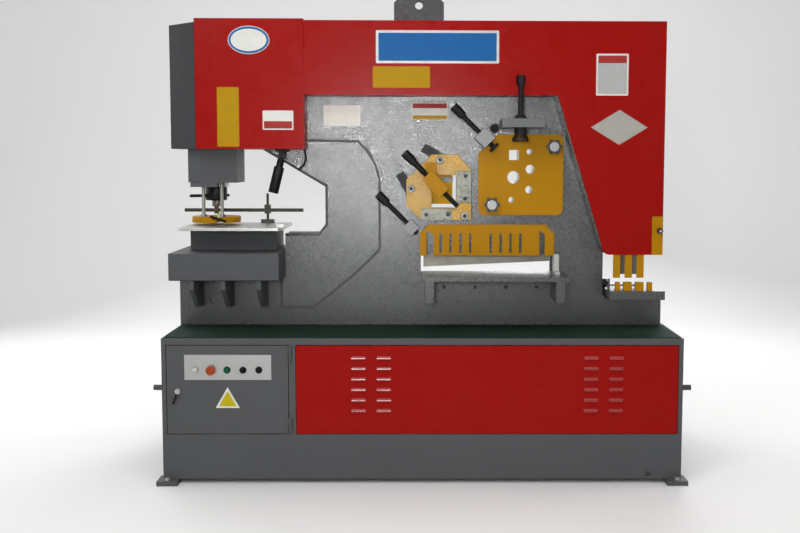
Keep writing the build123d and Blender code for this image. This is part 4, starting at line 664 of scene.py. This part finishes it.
def cover_plates():
    """Plain plates on the red covers, in the places that the machine has them."""
    face = cover_face
    second = face - plate_thickness
    long_area = (-0.210, 0.334, 1.825, 1.969)
    plate("long_plate_rim", rounded(*long_area, 0.006), face, materials["silver"])
    plate("long_plate_field", rounded(*inset(long_area, 0.011), 0.004), second, materials["blue"])
    x_lo, x_hi, z_lo, z_hi = inset(long_area, 0.006)
    rivets("long_plate_rivets", [(x, z) for x in (x_lo, x_hi) for z in (z_lo, z_hi)], second,
           materials["turned"])
    plate("yellow_plate", rounded(-0.224, 0.029, 1.718, 1.812, 0.005), face, materials["plate_yellow"])
    oval_x, oval_z = -0.7695, 1.9245
    plate("oval_plate", ellipse(oval_x, oval_z, 0.0915, 0.0615), face, materials["white"])
    plate("oval_line", ellipse(oval_x, oval_z, 0.0885, 0.0585), second, materials["blue"],
          thickness=line_thickness)
    plate("oval_field", ellipse(oval_x, oval_z, 0.079, 0.049), second - line_thickness, materials["white"],
          thickness=oval_field_thickness)
    plate("upright_yellow_plate", rounded(-0.913, -0.816, 1.457, 1.719, 0.004), face,
          materials["plate_yellow"])
    notice_area = (-0.712, -0.576, 1.532, 1.617)
    notice_band = inset(notice_area, 0.006, high=1.570)
    plate("notice_plate", rounded(*notice_area, 0.004), face, materials["white"])
    plate("notice_band", rounded(*notice_band, 0.003), second, materials["plate_red"])
    white_area = (0.765, 0.908, 1.687, 1.870)
    white_band = inset(white_area, 0.009, low=1.829)
    plate("white_plate", rounded(*white_area, 0.004), face, materials["white"])
    plate("white_plate_field", rounded(*inset(white_area, 0.007), 0.003), second, materials["grey"],
          thickness=field_thickness)
    plate("white_plate_band", rounded(*white_band, 0.003), second - field_thickness, materials["plate_red"],
          thickness=field_thickness)
    x, z, half_width, half_height = 0.8715, 1.5465, 0.1265, 0.0775
    diamond = [(x + half_width, z), (x, z + half_height), (x - half_width, z), (x, z - half_height)]
    plate("diamond_plate", diamond, face, materials["beige"])
    rivet_reach = 0.0985
    rivets("diamond_rivets", [(x - rivet_reach, z), (x + rivet_reach, z)], second, materials["turned"])


def frame_plates():
    """Plain plates on the side plate and the door."""
    second = plate_face - plate_thickness
    # This plate takes the lighter white: painted light.
    plate("frame_white_plate", rounded(-0.456, -0.287, 1.553, 1.649, 0.003), plate_face, materials["bright"])
    notice_area = (-0.053, 0.111, 1.583, 1.661)
    notice_top = inset(notice_area, 0.004, low=1.636)
    notice_foot = inset(notice_area, 0.004, high=1.603)
    plate("frame_notice_plate", rounded(*notice_area, 0.003), plate_face, materials["white"])
    plate("frame_notice_top", rounded(*notice_top, 0.002), second, materials["plate_red"])
    plate("frame_notice_foot", rounded(*notice_foot, 0.002), second, materials["plate_yellow"])
    x = -0.842
    plate("triangle_plate_rim", triangle(x, 0.333, 0.052, 0.091), door_face, materials["white"], "door")
    plate("triangle_plate_field", triangle(x, 0.341, 0.038, 0.0665), door_face - plate_thickness,
          materials["lemon"], "door")


cover_plates()
frame_plates()


def angle_bar():
    """Ground gib along the top of the angle shear's moving block."""
    area = (0.084, 0.136, 1.300, 1.322)
    front, back = -0.0528, -0.0498
    corner, edge = 0.002, 0.0006
    points = rounded(*area, corner, 2)
    mesh_piece("angle_bar", outline_slab(points, front, back), materials["edge"], "beam", edge)


angle_bar()


def lamp_lens():
    """Frosted lens inside the mouth of the spot lamp."""
    lean = math.radians(14)
    radius = 0.0185
    reach = 0.155
    joint = next(j for j in frame["joints"] if j["name"] == "lamp_tilt")
    pivot = Vector(joint["pos_m"])
    along = Vector((-math.sin(lean), 0, -math.cos(lean)))
    shape = bmesh.new()
    bmesh.ops.create_uvsphere(shape, u_segments=32, v_segments=12, radius=radius)
    bmesh.ops.scale(shape, vec=(1, 1, 0.35), verts=shape.verts)
    turn = along.to_track_quat("Z", "Y").to_matrix().to_4x4()
    bmesh.ops.transform(shape, matrix=Matrix.Translation(pivot + along * reach) @ turn, verts=shape.verts)
    mesh_piece("lamp_lens", shape, materials["lens"], "lamp")


lamp_lens()


def shown_rays(tree):
    """1 for the rays that show the background: straight, mirrored or through glass."""
    path = tree.nodes.new("ShaderNodeLightPath")
    seen = path.outputs["Is Camera Ray"]
    for name in ("Is Glossy Ray", "Is Transmission Ray"):
        both = tree.nodes.new("ShaderNodeMath")
        both.operation = "MAXIMUM"
        tree.links.new(seen, both.inputs[0])
        tree.links.new(path.outputs[name], both.inputs[1])
        seen = both.outputs[0]
    return seen


def studio_floor():
    """Pale floor swept up into a back wall, with a faint glow far from the machine."""
    floor_front, sweep_start, sweep_radius = -9.0, 4.0, 2.5
    wall_top, half_width = 9.0, 14.0
    shape = bmesh.new()
    turns = [math.radians(degrees) for degrees in range(0, 91, 9)]
    profile = [(floor_front, 0.0)]
    profile += [(sweep_start + sweep_radius * math.sin(turn), sweep_radius - sweep_radius * math.cos(turn))
                for turn in turns]
    profile.append((sweep_start + sweep_radius, wall_top))
    rows = [[shape.verts.new((x, y, z)) for x in (-half_width, half_width)] for y, z in profile]
    for first, second in zip(rows, rows[1:]):
        shape.faces.new([first[0], first[1], second[1], second[0]])
    mesh = bpy.data.meshes.new("floor")
    shape.to_mesh(mesh)
    shape.free()
    for face in mesh.polygons:
        face.use_smooth = True
    floor = bpy.data.objects.new("floor", mesh)
    bpy.context.scene.collection.objects.link(floor)
    s = Surface("floor_finish", (0.80, 0.80, 0.79), 0.7)
    s.bump(s.noise(8, 4), 0.05, 0.002)
    away = s.add("ShaderNodeVectorMath", {0: s.place}, operation="LENGTH").outputs["Value"]
    glow_start, glow_full, glow_strength = 2.5, 7.5, 0.22
    glow = s.maths("MULTIPLY", s.step(away, glow_start, glow_full), shown_rays(s.tree))
    strength = s.maths("MULTIPLY", glow, glow_strength)
    s.set(s.shader, {"Emission Color": (1, 1, 1, 1), "Emission Strength": strength})
    tone = s.blend(s.noise(0.8, 3), (0.78, 0.78, 0.77), (0.82, 0.82, 0.81))
    mesh.materials.append(s.finish(colour=tone))


def studio_world():
    """Pale world that shows brighter than the light it gives, most of all behind the machine."""
    unseen_level = 0.34
    world = bpy.data.worlds.new("studio")
    bpy.context.scene.world = world
    world.use_nodes = True
    tree = world.node_tree
    sky = tree.nodes["Background"]
    sky.inputs["Color"].default_value = (0.86, 0.88, 0.90, 1)
    direction = tree.nodes.new("ShaderNodeTexCoord")
    parts = tree.nodes.new("ShaderNodeSeparateXYZ")
    tree.links.new(direction.outputs["Generated"], parts.inputs["Vector"])
    shown = tree.nodes.new("ShaderNodeMapRange")
    for key, value in (("From Min", -0.9), ("From Max", 0.3), ("To Min", 0.52), ("To Max", 0.74)):
        shown.inputs[key].default_value = value
    tree.links.new(parts.outputs["Y"], shown.inputs["Value"])
    level = tree.nodes.new("ShaderNodeMapRange")
    level.inputs["To Min"].default_value = unseen_level
    tree.links.new(shown_rays(tree), level.inputs["Value"])
    tree.links.new(shown.outputs["Result"], level.inputs["To Max"])
    tree.links.new(level.outputs["Result"], sky.inputs["Strength"])


def soft_lamp(name, place, power, width, height, target=(0, 0, 1.1), spread=180):
    """Soft lamp that points at a target, by default the machine's middle."""
    light = bpy.data.lights.new(name, "AREA")
    light.spread = math.radians(spread)
    light.shape = "RECTANGLE"
    light.energy = power
    light.size = width
    light.size_y = height
    lamp = bpy.data.objects.new(name, light)
    bpy.context.scene.collection.objects.link(lamp)
    lamp.location = place
    lamp.rotation_euler = (Vector(target) - Vector(place)).to_track_quat("-Z", "Y").to_euler()


def photo_camera():
    """Camera where the photograph was taken from, its turns in radians."""
    place = Vector((0.0115, -5.308, 1.4026))
    turn_left, tilt_down, roll = -0.0115, 0.094, 0.0024
    lens_mm, sensor_mm = 51.06, 36.0
    shift_sideways = -0.0485
    farthest = 60.0
    level = math.cos(tilt_down)
    look = Vector((-math.sin(turn_left) * level, math.cos(turn_left) * level, -math.sin(tilt_down)))
    data = bpy.data.cameras.new("camera")
    data.sensor_width = sensor_mm
    data.lens = lens_mm
    data.shift_x = shift_sideways
    data.clip_end = farthest
    camera = bpy.data.objects.new("camera", data)
    bpy.context.scene.collection.objects.link(camera)
    aim = look.to_track_quat("-Z", "Y").to_matrix().to_4x4()
    camera.matrix_world = Matrix.Translation(place) @ aim @ Matrix.Rotation(roll, 4, "Z")
    bpy.context.scene.camera = camera


def lamps():
    """Soft lamps on every side, each with its place, power in watts, width and height."""
    soft_lamp("key", (-2.2, -4.4, 3.4), 62, 1.8, 1.8)
    soft_lamp("fill", (3.4, -4.2, 2.0), 17, 2.6, 2.6)
    soft_lamp("front", (-0.34, -5.5, 1.66), 14, 0.45, 0.45, (0, 0, 1.2), 80)
    soft_lamp("strip", (-0.35, -2.4, 4.3), 40, 2.6, 0.4, (-0.35, -0.4, 0.6))
    soft_lamp("top", (0, 0.6, 5.2), 75, 3.5, 3.5)
    soft_lamp("back", (1.6, 4.4, 3.2), 110, 2.5, 2.5)
    soft_lamp("back_left", (-3.2, 3.4, 2.6), 60, 2.5, 2.5)
    soft_lamp("side_right", (5.0, 0.9, 2.2), 60, 2.2, 2.2)
    soft_lamp("side_left", (-5.0, 0.9, 2.2), 45, 2.2, 2.2)


studio_floor()
studio_world()
lamps()
photo_camera()
bpy.context.scene.view_settings.view_transform = "Standard"
